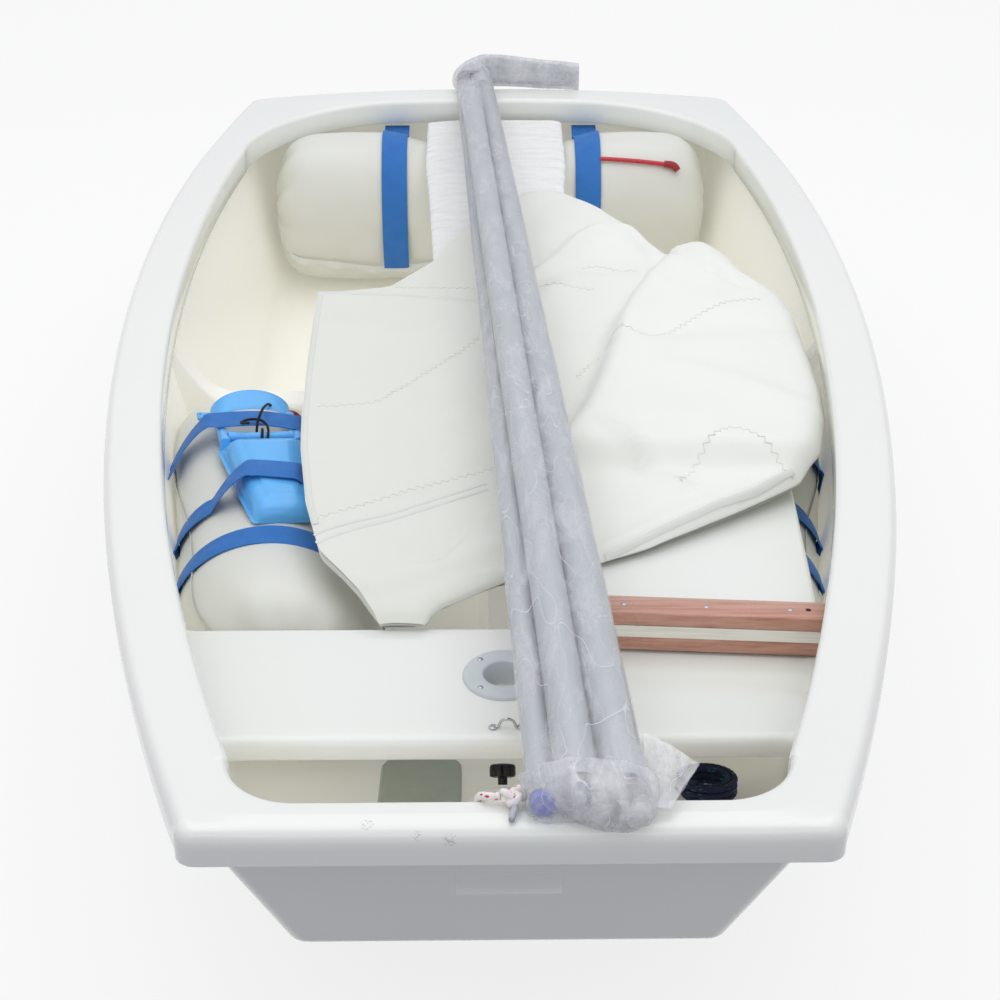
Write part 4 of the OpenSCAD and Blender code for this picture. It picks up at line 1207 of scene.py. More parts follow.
def side_webbing(side, over):
    """Rows of the straps over one side bag, each a left edge, a right edge and the way up."""
    bands, half = [], half_width("side_strap_width")
    for q in STRAPS:
        rows = []
        on = over and q[3] > 0
        turn = [24 + 171 * i / 96 for i in range(97)]
        mid = [strap_pt(q, a, 0.3, on) for a in turn]
        for i, c in enumerate(mid):
            run = heading(mid, i)
            up = (strap_pt(q, turn[i], 6, on) - c).normalized()
            wide = (Vector((0, 1, 0)) - run * run[1]).normalized() * half
            rows.append([Vector((p[0] * side, p[1], p[2])) for p in (c - wide, c + wide, up)])
        foot = [Vector((p[0] - 11 * side, p[1], floor_z(p[1]) + 9)) for p in rows[-1][:2]]
        rows.append(foot + [rows[-1][2]])
        bands.append(rows)
    return bands


# stern bag: its ends, its middle and where its straps run
SB0, SB1, SB_Y = -430.0, 436.0, 2166.0
STERN_STRAPS = (-190, 194)
SB_Z = floor_z(2168) + 152 + 0.4


def stern_pt(x, a, o=0.0):
    """Point on the stern bag, a degrees up from its bow side and o outside its skin."""
    u = (2 * x - SB0 - SB1) / (SB1 - SB0)
    f = max(0.22, max(0.0, 1 - abs(u) ** 14) ** 0.4)
    dent = 0.17 / (1 + abs((x - 10) / 168) ** 10)
    s, c = math.sin(math.radians(a)), math.cos(math.radians(a))
    g = 1 - dent * max(0.0, s)
    lift = 10 * smooth(-1, 0.3, s)
    return Vector((x, SB_Y - (114 * f + o) * c, SB_Z + lift + (152 * f * g + o) * s))


def build_side_bags():
    """The air bags to port and starboard."""
    side_bag("air_bag_port", 1, "bag_port")
    side_bag("air_bag_starboard", -1, "bag_starboard")


def build_stern_bag():
    """Air bag across the stern, with gathered ends and a welded seam."""
    rings, n, m = [], 110, 72
    for i in range(n + 1):
        x = mix(SB0, SB1, 0.5 - 0.5 * math.cos(math.pi * i / n))
        near = bell(x - SB0, 46)
        far = bell(x - SB1, 40)
        ring = []
        for j in range(m):
            a = 360 * j / m
            # gathered end: fat scallops between the puckers
            lobe = abs(math.sin(math.radians(4.5 * a + 20))) ** 0.7
            o = near * (13 * lobe - 11) * (0.8 + 0.2 * math.sin(math.radians(2 * a)))
            low = bell(a - 318, 40) if a > 180 else 0.0
            o -= 9 * low * (1 - near)
            o -= far * (3 + 3 * math.cos(math.radians(11 * a)))
            o -= 2.6 * sum(bell(x - at, 30) for at in STERN_STRAPS)
            o += 1.4 * waves(x, a * 1.6, 4, 110) + 0.6 * waves(x, a * 1.6, 1, 30) - 1.2
            p = stern_pt(x, a, o)
            ring.append(p - Vector((near * 6 * lobe * 0.6, 0, 0)))
        rings.append(ring)
    body = skin(rings)
    strip = []
    for i in range(101):
        x = mix(SB0 + 20, SB1 - 16, i / 100)
        a = -34 + 3 * math.sin(i * 0.2)
        base, tip = stern_pt(x, a, -2.4), stern_pt(x, a - 2, 7 + 2.2 * math.sin(i * 0.7))
        strip.append([base, tip, tip + Vector((0, -0.8, 0.8)), base + Vector((0, -1.6, 1.6))])
    v, f = join(body, skin(strip))
    ob = piece("air_bag_stern", v, f, MATS["bag_cloth"], sharp=70, replaces=("bag_stern",))


def build_webbing():
    """Straps over the side bags and the stern bag."""
    webbing("webbing_port", side_webbing(1, False), ("straps_port",))
    webbing("webbing_starboard", side_webbing(-1, True), ("straps_starboard",))
    bands, half = [], half_width("stern_strap_width")
    for x in STERN_STRAPS:
        rows = []
        start = [Vector((x + half * e, 2277, SB_Z + 140)) for e in (-1, 1)]
        rows.append((*start, Vector((0, -0.2, 1))))
        for i in range(70):
            a = 128 - 164 * i / 69
            ends = [stern_pt(x + half * e, a, 1.4) for e in (-1, 1)]
            rows.append((*ends, (stern_pt(x, a, 8) - (ends[0] + ends[1]) / 2).normalized()))
        bands.append(rows)
    webbing("webbing_stern", bands, ("straps_stern",))


def build_hoses():
    """Red filling hose with its valve elbow, and the stub of the starboard bag's own hose."""
    line = spline(
        [stern_pt(218, 53, 5.6), stern_pt(262, 51, 5.8), stern_pt(310, 49, 6.0), stern_pt(352, 47.2, 6.6)],
        8
    )
    hose = tube(line, lambda t: 4.0 + 0.6 * t, 16)[:2]
    bend = [stern_pt(344, 47.6, 7.0), stern_pt(362, 46.6, 8.0), stern_pt(371, 42.5, 9.2)]
    valve = tube(spline(bend, 6), lambda t: 6.2 + 1.2 * math.sin(3.1 * t), 16)[:2]
    k = len(hose[1])
    v, f = join(hose, valve)
    piece(
        "filling_hose", v, f, [MATS["hose_red"], MATS["valve_red"]], replaces=("inflation_tube",),
        picks=[0] * k + [1] * (len(f) - k)
    )
    p = [bag_pt(1140, 110, 2.0), bag_pt(1140, 106, 9.0), bag_pt(1134, 102, 12.0), bag_pt(1124, 100, 10.0)]
    v, f, _ = tube(
        spline([Vector((-q[0], q[1], q[2])) for q in p], 6), lambda t: 6.2 + 1.6 * math.sin(3.1 * t) ** 2,
        14
    )
    piece("side_valve", v, f, MATS["valve_red"])


# ---- bailer -----------------------------------------------------------------


# sections of the grip: share of the half width or width, and share of the height or rise in mm
ARM_SECTION = (
    (-1, 0.12), (-0.8, 0), (0.8, 0), (1, 0.12), (1, 0.8), (0.7, 0.96), (0, 1.03), (-0.7, 0.96), (-1, 0.8)
)
ARCH_SECTION = (
    (0, 0), (0.04, 1.0), (0.2, 0.5), (0.5, 0.2), (0.8, 0.5), (0.96, 1.0), (1, 0), (0.9, -3.4), (0.5, -3.8),
    (0.1, -3.4)
)


def bailer_matrix():
    """Place of the bailer on the bag, heeled and turned."""
    turn = Matrix.Rotation(math.radians(6), 4, "Y") @ Matrix.Rotation(math.radians(-3.2), 4, "X")
    return Matrix.Translation((-BAIL_X, BAIL_Y, BAIL_Z + 8.5)) @ turn @ Matrix.Rotation(
        math.radians(14), 4, "Z"
    )


def build_scoop():
    """Scoop of the bailer: a moulded bowl with a raised panel and a wall of even thickness."""
    m = bailer_matrix()
    rings = []
    widths = ((-194, 39), (-188, 44), (-120, 51), (-60, 55.5), (-4, 60), (18, 62.5), (32, 61))
    heights = (
        (-194, 14), (-188, 24), (-172, 30), (-60, 34.5), (-8, 37.5), (2, 34), (10, 22), (20, 13), (32, 10)
    )
    for i in range(57):
        y = mix(-194, 32, i / 56)
        w, h = along(widths, y), along(heights, y)
        panel = 2.6 * smooth(-178, -164, y) * (1 - smooth(-18, -8, y))
        half = [
            (w + 2.5, 0.2), (w + 2.5, 2.2), (w - 1.5, 3.0), (w - 3.5, h * 0.4), (w - 7, h * 0.72),
            (w - 12, h * 0.9)
        ]
        half += [(w - 19, h * 0.985), (w - 23, h), (w - 25.5, h + panel), (w * 0.3, h + panel + 0.5)]
        ring = half + [(0, h + panel + 0.6)] + [(-x, z) for x, z in reversed(half)]
        rings.append([m @ Vector((x, y, z)) for x, z in ring])
    v, f = skin(rings, closed=False, caps=False)
    n = len(rings[0])
    f += [tuple(range(n)), tuple(reversed(range(len(v) - n, len(v))))]
    ob = piece(
        "bailer_body", v, f, MATS["polyethylene_blue"], sharp=45, replaces=("bailer_scoop",),
    )
    mod = ob.modifiers.new("wall", "SOLIDIFY")
    mod.thickness = 0.0024
    mod.offset = -1


def build_grip():
    """Two arms, the bar between them and the wide arch with rolled edges."""
    m = bailer_matrix()
    parts = []
    for k in (-1, 1):
        rings = []
        for i in range(17):
            y = mix(30, 124, i / 16)
            z0 = mix(2, 6, i / 16)
            h = mix(19, 13, smooth(30, 90, y))
            c, w = 54 * k, 7.0
            rings.append([m @ Vector((c + a * w, y, z0 + b * h)) for a, b in ARM_SECTION])
        parts.append(skin(rings))
    bar = [m @ Vector((mix(-47.5, 47.5, i / 12), 50, 14)) for i in range(13)]
    parts.append(tube(bar, lambda t: 6.6 + 1.6 * abs(2 * t - 1) ** 4, 20)[:2])
    rings = []
    for i in range(33):
        a = math.pi * i / 32
        c, s = math.cos(a), math.sin(a)
        ring = []
        for t, o in ARCH_SECTION:
            ring.append(m @ Vector(((60 + o) * c, 122 + 34 * t + 8 * s, 4 + (17 + 17 * t + o) * s)))
        rings.append(ring)
    parts.append(skin(rings))
    parts.append(rounded_box((25, 12, 6), 2.4, 3, m @ Matrix.Translation((-69.5, 136, 9))))
    parts.append(rounded_box((9, 20, 6), 2.4, 3, m @ Matrix.Translation((-79, 133, 9))))
    v, f = join(*parts)
    piece(
        "bailer_grip", v, f, MATS["polyethylene_blue"], sharp=50, replaces=("bailer_handle",),
    )


def build_cord():
    """Loose end, nearly two turns round the bar, then over the strap to the bag."""
    m = bailer_matrix()
    pts = [(-20, 38, 42), (-28, 52, 35), (-25, 68, 30), (-12, 78, 29), (3, 75, 29), (10, 63, 27)]
    for i in range(16):
        a = math.radians(88 + 632 * i / 15)
        pts.append((mix(11, -4, i / 15), 50 + 10.7 * math.cos(a), 14 + 10.7 * math.sin(a)))
    pts += [(-4, 61, 24), (-2, 66, 33), (3, 76, 39.5), (8, 88, 41.5), (13, 100, 40), (18, 112, 37)]
    pts += [(22, 124, 32), (27, 136, 25), (31, 147, 17)]
    line = even([m @ q for q in spline(pts, 4)], 1.6)
    v, f, uvs = tube(line, 2.0, 10)
    ob = piece(
        "bailer_cord", v, f, MATS["cord_black"], replaces=("bailer_lanyard",), uvs=uvs
    )


# ---- board ------------------------------------------------------------------


def board_matrix():
    """Place of the board, its head on the thwart and its foot lower, aft."""
    turn = Matrix.Rotation(math.radians(-4.2), 4, "Z") @ Matrix.Rotation(math.radians(-5.15), 4, "X")
    return Matrix.Translation((384, 482, THWART_Z + 0.4)) @ turn @ Matrix.Translation((-284, -42, 0))


def build_board():
    """Painted plywood blade with rounded edges, its plies showing at the head."""
    m = board_matrix()
    rings = []
    for i in range(61):
        y = 1060 * i / 60
        k = 0.0 if y < 1000 else 46 * (1 - math.sqrt(max(0.0, 1 - ((y - 1000) / 60) ** 2)))
        ring = arc(273 - k, 25.5, 7, 7.5, -90, 90, 9) + arc(11 + k, 25.5, 7, 7.5, 90, 270, 9)
        rings.append([m @ Vector((x, y, z)) for x, z in ring])
    v, f = skin(rings)
    picks = [0] * (len(f) - 2) + [1, 0]
    piece(
        "board_blade", v, f, [MATS["paint_board"], MATS["ply_edge"]], sharp=45, replaces=("daggerboard",),
        picks=picks
    )


def build_battens():
    """Two battens clamped over the blade's head, their screws and one open hole."""
    m = board_matrix()
    parts = []
    for z, over in ((9, 0), (42, 4)):
        parts.append(
            rounded_box((286 - over, 42, 18), 2.6, 3, m @ Matrix.Translation((143 + over / 2, 21, z)))
        )
    v, f = join(*parts)
    piece("battens_wood", v, f, MATS["mahogany"], replaces=("board_battens",))
    parts = [screw((x, 21, 50.8), 3.6, 25, m) for x in (22, 44, 142, 241)]
    at = m @ Matrix.Translation((262, 21, 50.7))
    hole = lathe([(3.3, 0), (3.3, 0.5), (2.9, 0.62), (0.1, 0.62)], (0, 0, 0), 20, at)
    k = sum(len(p[1]) for p in parts)
    v, f = join(*parts, hole)
    piece(
        "batten_fixings", v, f, [MATS["stainless"], MATS["hole_dark"]], replaces=("batten_screws",),
        picks=[0] * k + [1] * (len(f) - k)
    )


# ---- sail -------------------------------------------------------------------

SAIL_Y0, SAIL_Y1 = 506.0, 1880.0
LEFT = (
    (506, -150), (560, -180), (640, -232), (760, -258), (900, -276), (1000, -283), (1200, -290),
    (1455, -293), (1480, -176), (1580, -110), (1720, -42), (1800, 4), (1880, 76)
)
RIGHT = (
    (506, -96), (530, -80), (582, 10), (604, 120), (643, 189), (716, 287), (805, 404), (873, 444),
    (962, 466), (1057, 476), (1300, 478), (1372, 470), (1430, 424), (1540, 384), (1620, 290), (1720, 248),
    (1800, 204), (1880, 124)
)
HEAP = (
    (60, 860), (103, 940), (127, 1033), (156, 1151), (179, 1261), (200, 1338), (239, 1432), (284, 1517),
    (330, 1560)
)
TUCK = ((61, 1500), (115, 1576), (153, 1644), (190, 1682), (243, 1672), (279, 1588))


def board_top(y):
    """Height of the board's upper face."""
    return THWART_Z + 36.8 + (478 - y) * math.tan(math.radians(5.15))


def droop(x, y):
    """How far the bow corner of the sail hangs down behind the thwart."""
    return 12 * (1 - smooth(508, 600, y)) * (1 - smooth(-20, 60, x))


def sail_under(x, y):
    """Height of what the sail lies on: thwart level, board or wrapped rudder."""
    on_board = mix(353, 400 if y < 520 else board_top(y), smooth(20, 96, x))
    on_wrap = mix(
        353, 366 + 0.0875 * (y - 1760),
        smooth(-190, -140, x) * smooth(1690, 1750, y) * (1 - smooth(170, 230, x))
    )
    return max(353, on_board, on_wrap) + 1.8 - droop(x, y)


def side_of(line, x, y):
    """Signed distance to a line of points, positive to its port side."""
    best, sign = 1e9, 1.0
    p = Vector((x, y))
    for a, b in zip(line, line[1:]):
        a, b = Vector(a), Vector(b)
        t = max(0.0, min(1.0, (p - a).dot(b - a) / (b - a).length_squared))
        gap = p - (a + (b - a) * t)
        if gap.length < best:
            best = gap.length
            sign = 1.0 if (b - a)[1] * gap[0] - (b - a)[0] * gap[1] > 0 else -1.0
    return best * sign


def sail_top(x, y):
    """Height of the sail's upper face: the heap, its folds and its fine creases."""
    d = side_of(HEAP, x, y)
    front = smooth(806, 852, y)
    heap = smooth(-5, 26, d) * (1 - 0.28 * smooth(330, 480, x)) * (1 - 0.5 * smooth(1380, 1600, y))
    z = 373 + 44 * heap * front + 12 * heap * (1 - front) * smooth(560, 700, y)
    z += 9 * bell(d - 34, 30) * front
    # long soft folds fanning out from the middle
    for x1, y1, x2, y2, h, w in (
        (104, 943, 250, 770, 7, 14), (104, 943, 190, 815, -6, 10), (250, 1080, 440, 960, 6, 26),
        (220, 1190, 460, 1240, -7, 30), (-290, 1120, -60, 1010, 3, 30), (-280, 930, -40, 1120, 3.5, 34),
        (-240, 660, -20, 900, 4, 24), (-290, 1330, -30, 1250, 2.5, 30), (0, 1300, 110, 1480, 7, 26),
        (120, 620, 420, 830, 6, 14), (-160, 560, 10, 640, 6, 18), (300, 1480, 420, 1380, 6, 16),
    ):
        z += h * bell(side_of(((x1, y1), (x2, y2)), x, y), w)
    # lobe of cloth aft on the port side, and the dark tuck beside it
    z += 24 * bell(math.hypot(x - 352, (y - 1478) / 1.15), 62)
    z += 15 * bell(side_of(TUCK, x, y), 15)
    z -= 20 * bell(math.hypot(x - 192, (y - 1556) * 1.2), 36)
    z += 14 * smooth(1560, 1700, y)
    z -= 11 * bell(side_of(((262, 1512), (410, 1366)), x, y), 10) * smooth(250, 290, x)
    # edge of the upper layer: a hemmed step across the port-bow to aft panel
    hem = 1455 - 0.144 * (x + 293)
    z -= 9 * smooth(hem - 3, hem + 4, y) * (1 - smooth(40, 120, x))
    z += 2.6 * waves(x, y, 0, 150, 1.3) + 1.4 * waves(x, y, 0, 60, 4.1)
    ridge = 1 - 2.2 * abs(waves(x * 0.8 + y * 0.35, y * 0.45 - x * 0.3, 0, 95, 9.2))
    z += (1.6 + 3.2 * heap * front) * max(-0.4, ridge)
    return z


def sail_point(u, y):
    """Point on the top layer, u from the starboard to the port edge."""
    l, r = along(LEFT, y), along(RIGHT, y)
    x = mix(l, r, u)
    low = sail_under(x, y)
    z = max(low + 13, sail_top(x, y) - droop(x, y))
    edge = min((y - SAIL_Y0) / 26, (SAIL_Y1 - y) / 40, 1.0)
    z = mix(low + 8, z, math.sqrt(max(0.0, 1 - (1 - edge) ** 2)))
    fall = max(0.0, 1 - (r - x) / 46)
    z = mix(z, mix(low, z, 0.5), 1 - math.sqrt(max(0.0, 1 - fall**2)))
    lift = max(0.0, 1 - (x - l) / 16)
    return Vector((x, y, z - 2.0 * lift))


def build_sail():
    """Folded sail in three layers, with its tapes and its stitching."""
    rows, nu = [], 60
    for i in range(151):
        y = mix(SAIL_Y0, SAIL_Y1, i / 150)
        l, r = along(LEFT, y), along(RIGHT, y)
        top = [sail_point(j / nu, y) for j in range(nu + 1)]
        # round the port fold, back under, round again and out along the bottom
        under = []
        for j in range(37):
            u = 1 - j / 36
            x = mix(l + 5, r - 1, u)
            t = sail_point((x - l) / max(1.0, r - l), y)[2]
            under.append(Vector((x, y, mix(sail_under(x, y), t, 0.52) + 0.8 * waves(x, y, 3, 60))))
        bottom = []
        for j in range(37):
            x = mix(l + 4, r - 12, j / 36)
            bottom.append(Vector((x, y, sail_under(x, y) + 0.5)))
        turn = 0.5 * (top[-1] + under[0]) + Vector((3, 0, 0))
        back = 0.5 * (under[-1] + bottom[0]) - Vector((2.5, 0, 0))
        rows.append(top + [turn] + under + [back] + bottom)
    v, f = skin(rows, closed=False, caps=False)
    ob = piece("sail_heap", v, f, MATS["sailcloth"], sharp=180, replaces=("sail",))
    # painted shade: the tapes are drawn darker than the cloth, for the shading along the hems and folds
    tapes = [
        tape(((-289, 1449), (-223, 1439), (-156, 1430), (-89, 1420), (-10, 1409)), 13, 0.9),
        tape(((-236, 650), (-182, 687), (-131, 717), (-80, 749), (-16, 786)), 6, 0.8),
        tape(((-240, 668), (-184, 702), (-133, 731), (-82, 763), (-18, 800)), 5, 0.8),
        tape(((130, 612), (187, 651), (284, 724), (340, 763), (398, 812)), 8, 0.8),
    ]
    edge = [(along(LEFT, y) + 5.5, y) for y in range(700, 1451, 25)]
    tapes.append(tape(edge, 9, 0.8))
    v, f = join(*tapes)
    tapes = piece("sail_tapes", v, f, MATS["sail_tape"], sharp=180)
    lines = [
        zigzag(
            ((-261, 1033), (-222, 1032), (-174, 1038), (-144, 1080), (-100, 1147), (-55, 1216), (-10, 1280))
        ),
        zigzag(((-240, 716), (-185, 741), (-133, 772), (-80, 803), (-26, 830), (-3, 846))),
        zigzag(((-165, 1474), (-107, 1473), (-23, 1468), (110, 1460), (170, 1448))),
        zigzag(
            (
                (120, 1120), (150, 1172), (189, 1196), (233, 1178), (266, 1201), (318, 1256), (369, 1294),
                (425, 1320)
            )
        ),
        zigzag(((240, 778), (262, 812), (300, 862), (331, 872), (367, 840), (388, 806), (400, 809))),
        zigzag(((148, 1546), (178, 1560), (214, 1540), (246, 1520))),
    ]
    v, f = join(*lines)
    threads = piece("sail_stitching", v, f, MATS["thread_green"], sharp=180)


def on_sail(x, y, lift):
    """Point a small lift above the sail."""
    l, r = along(LEFT, y), along(RIGHT, y)
    p = sail_point(min(1.0, max(0.0, (x - l) / (r - l))), y)
    return Vector((x, y, p[2] + lift))


def tape(points, width, lift):
    """Flat strip of cloth lying on the sail."""
    line = even([Vector((x, y, 0)) for x, y in points], 9)
    rows = []
    for i, p in enumerate(line):
        d = heading(line, i)
        n = Vector((-d[1], d[0], 0)) * width / 2
        rows.append(
            [
                on_sail(*(p + n * t)[:2], lift * (1.0 if abs(t) < 0.9 else 0.1))
                for t in (-1, -0.85, 0, 0.85, 1)
            ]
        )
    return skin(rows, closed=False, caps=False)


def zigzag(points, pitch=13.0, reach=3.6):
    """Zigzag stitching along a seam."""
    line = even([Vector((q[0], q[1], 0)) for q in spline([(x, y, 0) for x, y in points], 6)], pitch / 2)
    pts = []
    for i, p in enumerate(line):
        d = heading(line, i)
        n = Vector((-d[1], d[0], 0)) * (reach if i % 2 else -reach)
        pts.append(p + n)
    fine = [a.lerp(b, t) for a, b in zip(pts, pts[1:]) for t in (0, 0.33, 0.66)]
    return tube([on_sail(q[0], q[1], 0.25) for q in fine], 0.6, 5)[:2]


# ---- spars' wrapping --------------------------------------------------------

# each spar's two ends and its radius
MAST = ((109, 26, 483), (-17, 2300, 463.4), 22.5)
BOOM = ((64.5, 26, 487.4), (-38, 2080, 501.5), 20.0)
SPRIT = ((30, 26, 474.4), (-53.5, 2300, 455.2), 14.0)


def on_line(spar, y):
    """Middle of a spar at y, as (x, z)."""
    a, b, _ = spar
    t = (y - a[1]) / (b[1] - a[1])
    return Vector((mix(a[0], b[0], t), mix(a[2], b[2], t)))


def film_ring(y, gap, n=80):
    """Film pulled round the three tubes, sagging a little between them."""
    k = max(0.0, min(1.0, (2240 - y) / 110))
    boom = on_line(MAST, y).lerp(on_line(BOOM, y), k)
    cs = [(on_line(MAST, y), MAST[2] + gap), (on_line(SPRIT, y), SPRIT[2] + gap), (boom, BOOM[2] + gap)]
    pts = []
    for a in circle(180):
        u = Vector((math.cos(a), math.sin(a)))
        c, r = max(cs, key=lambda q: q[0].dot(u) + q[1])
        pts.append(c + u * r)
    ring = even([(p[0], p[1], 0) for p in pts + [pts[0]]], 1.0)
    step = len(ring) / n
    out = []
    for j in range(n):
        p = Vector(ring[int(j * step)][:2])
        gaps = [(p - c).length - r for c, r in cs]
        near = min(gaps)
        c = cs[gaps.index(near)][0]
        sag = min(7.0, 0.45 * max(0.0, near))
        p = p - (p - c).normalized() * sag
        out.append(p)
    return out


def crumple(p, size, depth, seed=0.0):
    """Sharp-ridged noise for creased film."""
    a = 1 - abs(waves(p[0], p[1] * 0.7, p[2], size, seed)) * 2
    b = 1 - abs(waves(p[0], p[1], p[2], size * 0.45, seed + 3.1)) * 2
    return depth * (a + 0.45 * b - 0.7)


def build_sleeve():
    """Film sleeve that follows the three spars."""
    ys = [2, 3, 5, 9] + [16 + 8 * i for i in range(14)] + [128 + 20 * i for i in range(105)] + [
        2226 + 9.5 * i for i in range(13)
    ]
    rings = []
    for y in ys:
        ring = []
        shut = 1 - math.sqrt(max(0.02, 1 - max(0.0, (16 - y) / 14.2) ** 2))
        near = bell(y - 16, 110)
        for p in film_ring(y, 1.0):
            c = (on_line(MAST, y) + on_line(SPRIT, y)) / 2
            out = (p - c).normalized()
            q = Vector((p[0], y, p[1]))
            d = 0.5 + 0.9 * waves(q[0], y * 0.35, q[2], 24, 2.0) + 0.7 * waves(
                q[0] * 2, y * 0.12, q[2] * 2, 16, 7.0
            )
            d += near * crumple(q, 30, 1.6, 1.0)
            p = (p + out * max(-0.6, d)).lerp(c, shut)
            ring.append((p[0], y, p[1]))
        rings.append(ring)
    v, f = skin(rings, caps=False)
    f.append(tuple(range(len(rings[0]))))
    piece("film_sleeve", v, f, MATS["film_bubble"], sharp=180, replaces=("spar_sleeve",))


def build_bow_end():
    """Crumpled end of the film, folded over the rim's edge, and its loose flap to port."""
    parts = []
    for layer, seed in ((1.0, 5.0), (0.82, 9.0)):
        rings = []
        for i in range(25):
            t = i / 24
            y = mix(46, -7, t)
            close = math.sqrt(max(0.04, 1 - max(0.0, (t - 0.78) / 0.22) ** 2))
            w = mix(66, 24, t**1.3) * layer * close
            cx, cz = mix(72, 105, t), mix(485, 473, t)
            h = mix(27, 14, t**1.5) * layer * close
            ring = []
            for a in circle(44):
                p = Vector((cx + w * math.cos(a), y, cz + h * math.sin(a)))
                p += Vector((math.cos(a), 0, math.sin(a))) * crumple(p, 26, 3.6, seed)
                p[2] = max(p[2], 458.0)
                ring.append(p)
            rings.append(ring)
        parts.append(skin(rings))
    for seed, up in ((1.0, 0.0), (4.0, 3.0)):
        rows = []
        for i in range(33):
            u = i / 32
            row = []
            for j in range(33):
                w = j / 32
                a = Vector((mix(124, 132, w), mix(8, 116, w), mix(476, 484, w)))
                b = Vector((mix(150, 183, w), mix(20, 74, w), mix(468, 478, w)))
                p = a.lerp(b, u)
                p[2] += crumple(p, 30, 3.4, seed) + up * (1 - abs(2 * w - 1)) + 3.0 * math.sin(3 * u)
                row.append(p)
            rows.append(row)
        parts.append(skin(rows, closed=False, caps=False))
    v, f = join(*parts)
    piece("film_bow_end", v, f, MATS["film_end"], sharp=180, replaces=("sleeve_end_bow",))


def build_plugs():
    """Blue plugs in the spar ends, seen through the film."""
    parts = []
    for spar, r, y0 in ((SPRIT, 12.2, 20), (BOOM, 10, 22)):
        ys = [mix(y0, 34, i / 5) for i in range(6)]
        parts.append(tube([(on_line(spar, y)[0], y, on_line(spar, y)[1]) for y in ys], r, 28)[:2])
    v, f = join(*parts)
    piece("spar_plugs", v, f, MATS["plug_blue"])


def build_tail():
    """Tail of film bent over to port behind the stern."""
    path = spline(
        [
            (-36, 2296, 464), (-35, 2322, 468), (-26, 2343, 472), (4, 2352, 472), (70, 2353, 467),
            (130, 2353, 462), (187, 2353, 458)
        ],
        10
    )
    parts = []
    for layer, seed in ((1.0, 2.0), (0.78, 6.0)):
        rings = []
        for i, c in enumerate(path):
            t = i / (len(path) - 1)
            d = heading(path, i)
            side = Vector((d[1], -d[0], 0)).normalized()
            bend = smooth(0.15, 0.5, t)
            wide = mix(40, 12, bend) * layer
            tall = mix(25, 33, bend) * mix(1.0, 0.86, smooth(0.5, 1, t)) * layer
            ring = []
            for a in circle(40):
                p = c + side * wide * math.cos(a) + Vector((0, 0, tall * math.sin(a)))
                stretch = Vector((p[0] * 0.25, p[1] * 0.5, p[2]))
                p += (side * 0.4 * math.cos(a) + Vector((0, 0, math.sin(a)))) * crumple(
                    stretch, 24, 1.9, seed
                )
                p[1] = min(2366.0, p[1])
                ring.append(p)
            rings.append(ring)
        parts.append(skin(rings, caps=False))
    v, f = join(*parts)
    piece(
        "film_stern_tail", v, f, MATS["film_grey"], sharp=180, replaces=("sleeve_tail_stern",)
    )


def build_wrapped_rudder():
    """Quilted wrap round the rudder and tiller, lying on the stern bag."""
    tip = Matrix.Rotation(math.radians(5), 4, "X") @ Matrix.Translation((0, 0, 152 * 0.83 + 0.9))
    m = Matrix.Translation((10, 2168, SB_Z + 12)) @ tip
    rings = []
    for i in range(141):
        y = mix(84, -546, i / 140)
        w = 136 * along(((-546, 0.76), (-536, 0.84), (-300, 0.92), (-120, 1.0), (84, 1.0)), y)
        end = min(1.0, (84 - y) / 14, (y + 546) / 12)
        h = 12.5 * math.sqrt(max(0.05, 1 - (1 - max(0.0, end)) ** 2))
        ring = []
        for a in circle(64):
            c, s = math.cos(a), math.sin(a)
            x = w * math.copysign(abs(c) ** 0.35, c)
            z = 12.5 + h * math.copysign(abs(s) ** 0.5, s)
            if s > 0.1:
                z += 1.6 * waves(x * 0.35, y, 0, 22, 3.0) + 1.0 * waves(x, y * 2.2, 0, 26, 8.0) - 1.2
            ring.append(m @ Vector((x, y, z)))
        rings.append(ring)
    v, f = skin(rings)
    ob = piece(
        "wrapped_rudder", v, f, MATS["wrap_white"], sharp=180, replaces=("rudder_package",)
    )


# ---- ropes ------------------------------------------------------------------


def coil_line(centre, tilt, ring_r, places, steps=40):
    """Turns of a coil; places are the cross-section spots the turns take in order."""
    m = Matrix.Translation(centre) @ Matrix.Rotation(tilt, 4, "X")
    out = []
    for k in range(len(places) - 1):
        a, b = Vector(places[k]), Vector(places[k + 1])
        for i in range(steps):
            t = i / steps
            q = a.lerp(b, smooth(0.72, 1.0, t))
            r, ang = ring_r + q[0], 2 * math.pi * t + math.radians(250)
            out.append(m @ Vector((r * math.cos(ang), r * math.sin(ang), q[1])))
    return out


def painter_coil():
    """Place and slope of the painter's coil on the bow floor."""
    return Vector((-6, 236, floor_z(236) + 17.7)), math.atan((keel(176) - keel(296)) / 120)


def build_stopper():
    """Stopper knot on the rim with its whipped tail."""
    pts = []
    for i in range(90):
        t = 2 * math.pi * i / 90 * 0.92 + 0.5
        x = 3 + 4.1 * (math.sin(t) + 1.7 * math.sin(2 * t))
        y = 41 + 3.6 * (math.cos(t) - 1.7 * math.cos(2 * t))
        pts.append(Vector((x, y, 469.5 - 3.4 * math.sin(3 * t))))
    kv, kf, kuv = tube(pts, 4.1, 12, lobes=3, pitch=24)
    tail = spline([(3, 34, 468), (3.5, 27, 466.5), (1.6, 20, 465.4), (0, 11, 465.2)], 6)
    tv, tf, tuv = tube(tail, lambda t: 4.1 - 0.8 * t, 12, lobes=3)
    v, f = join((kv, kf), (tv, tf))
    return piece(
        "painter_stopper", v, f, [MATS["rope_white_red"], MATS["rope_end_grey"]], sharp=180,
        replaces=("painter_knot",), uvs=kuv + tuv, picks=[0] * len(kf) + [1] * len(tf)
    )


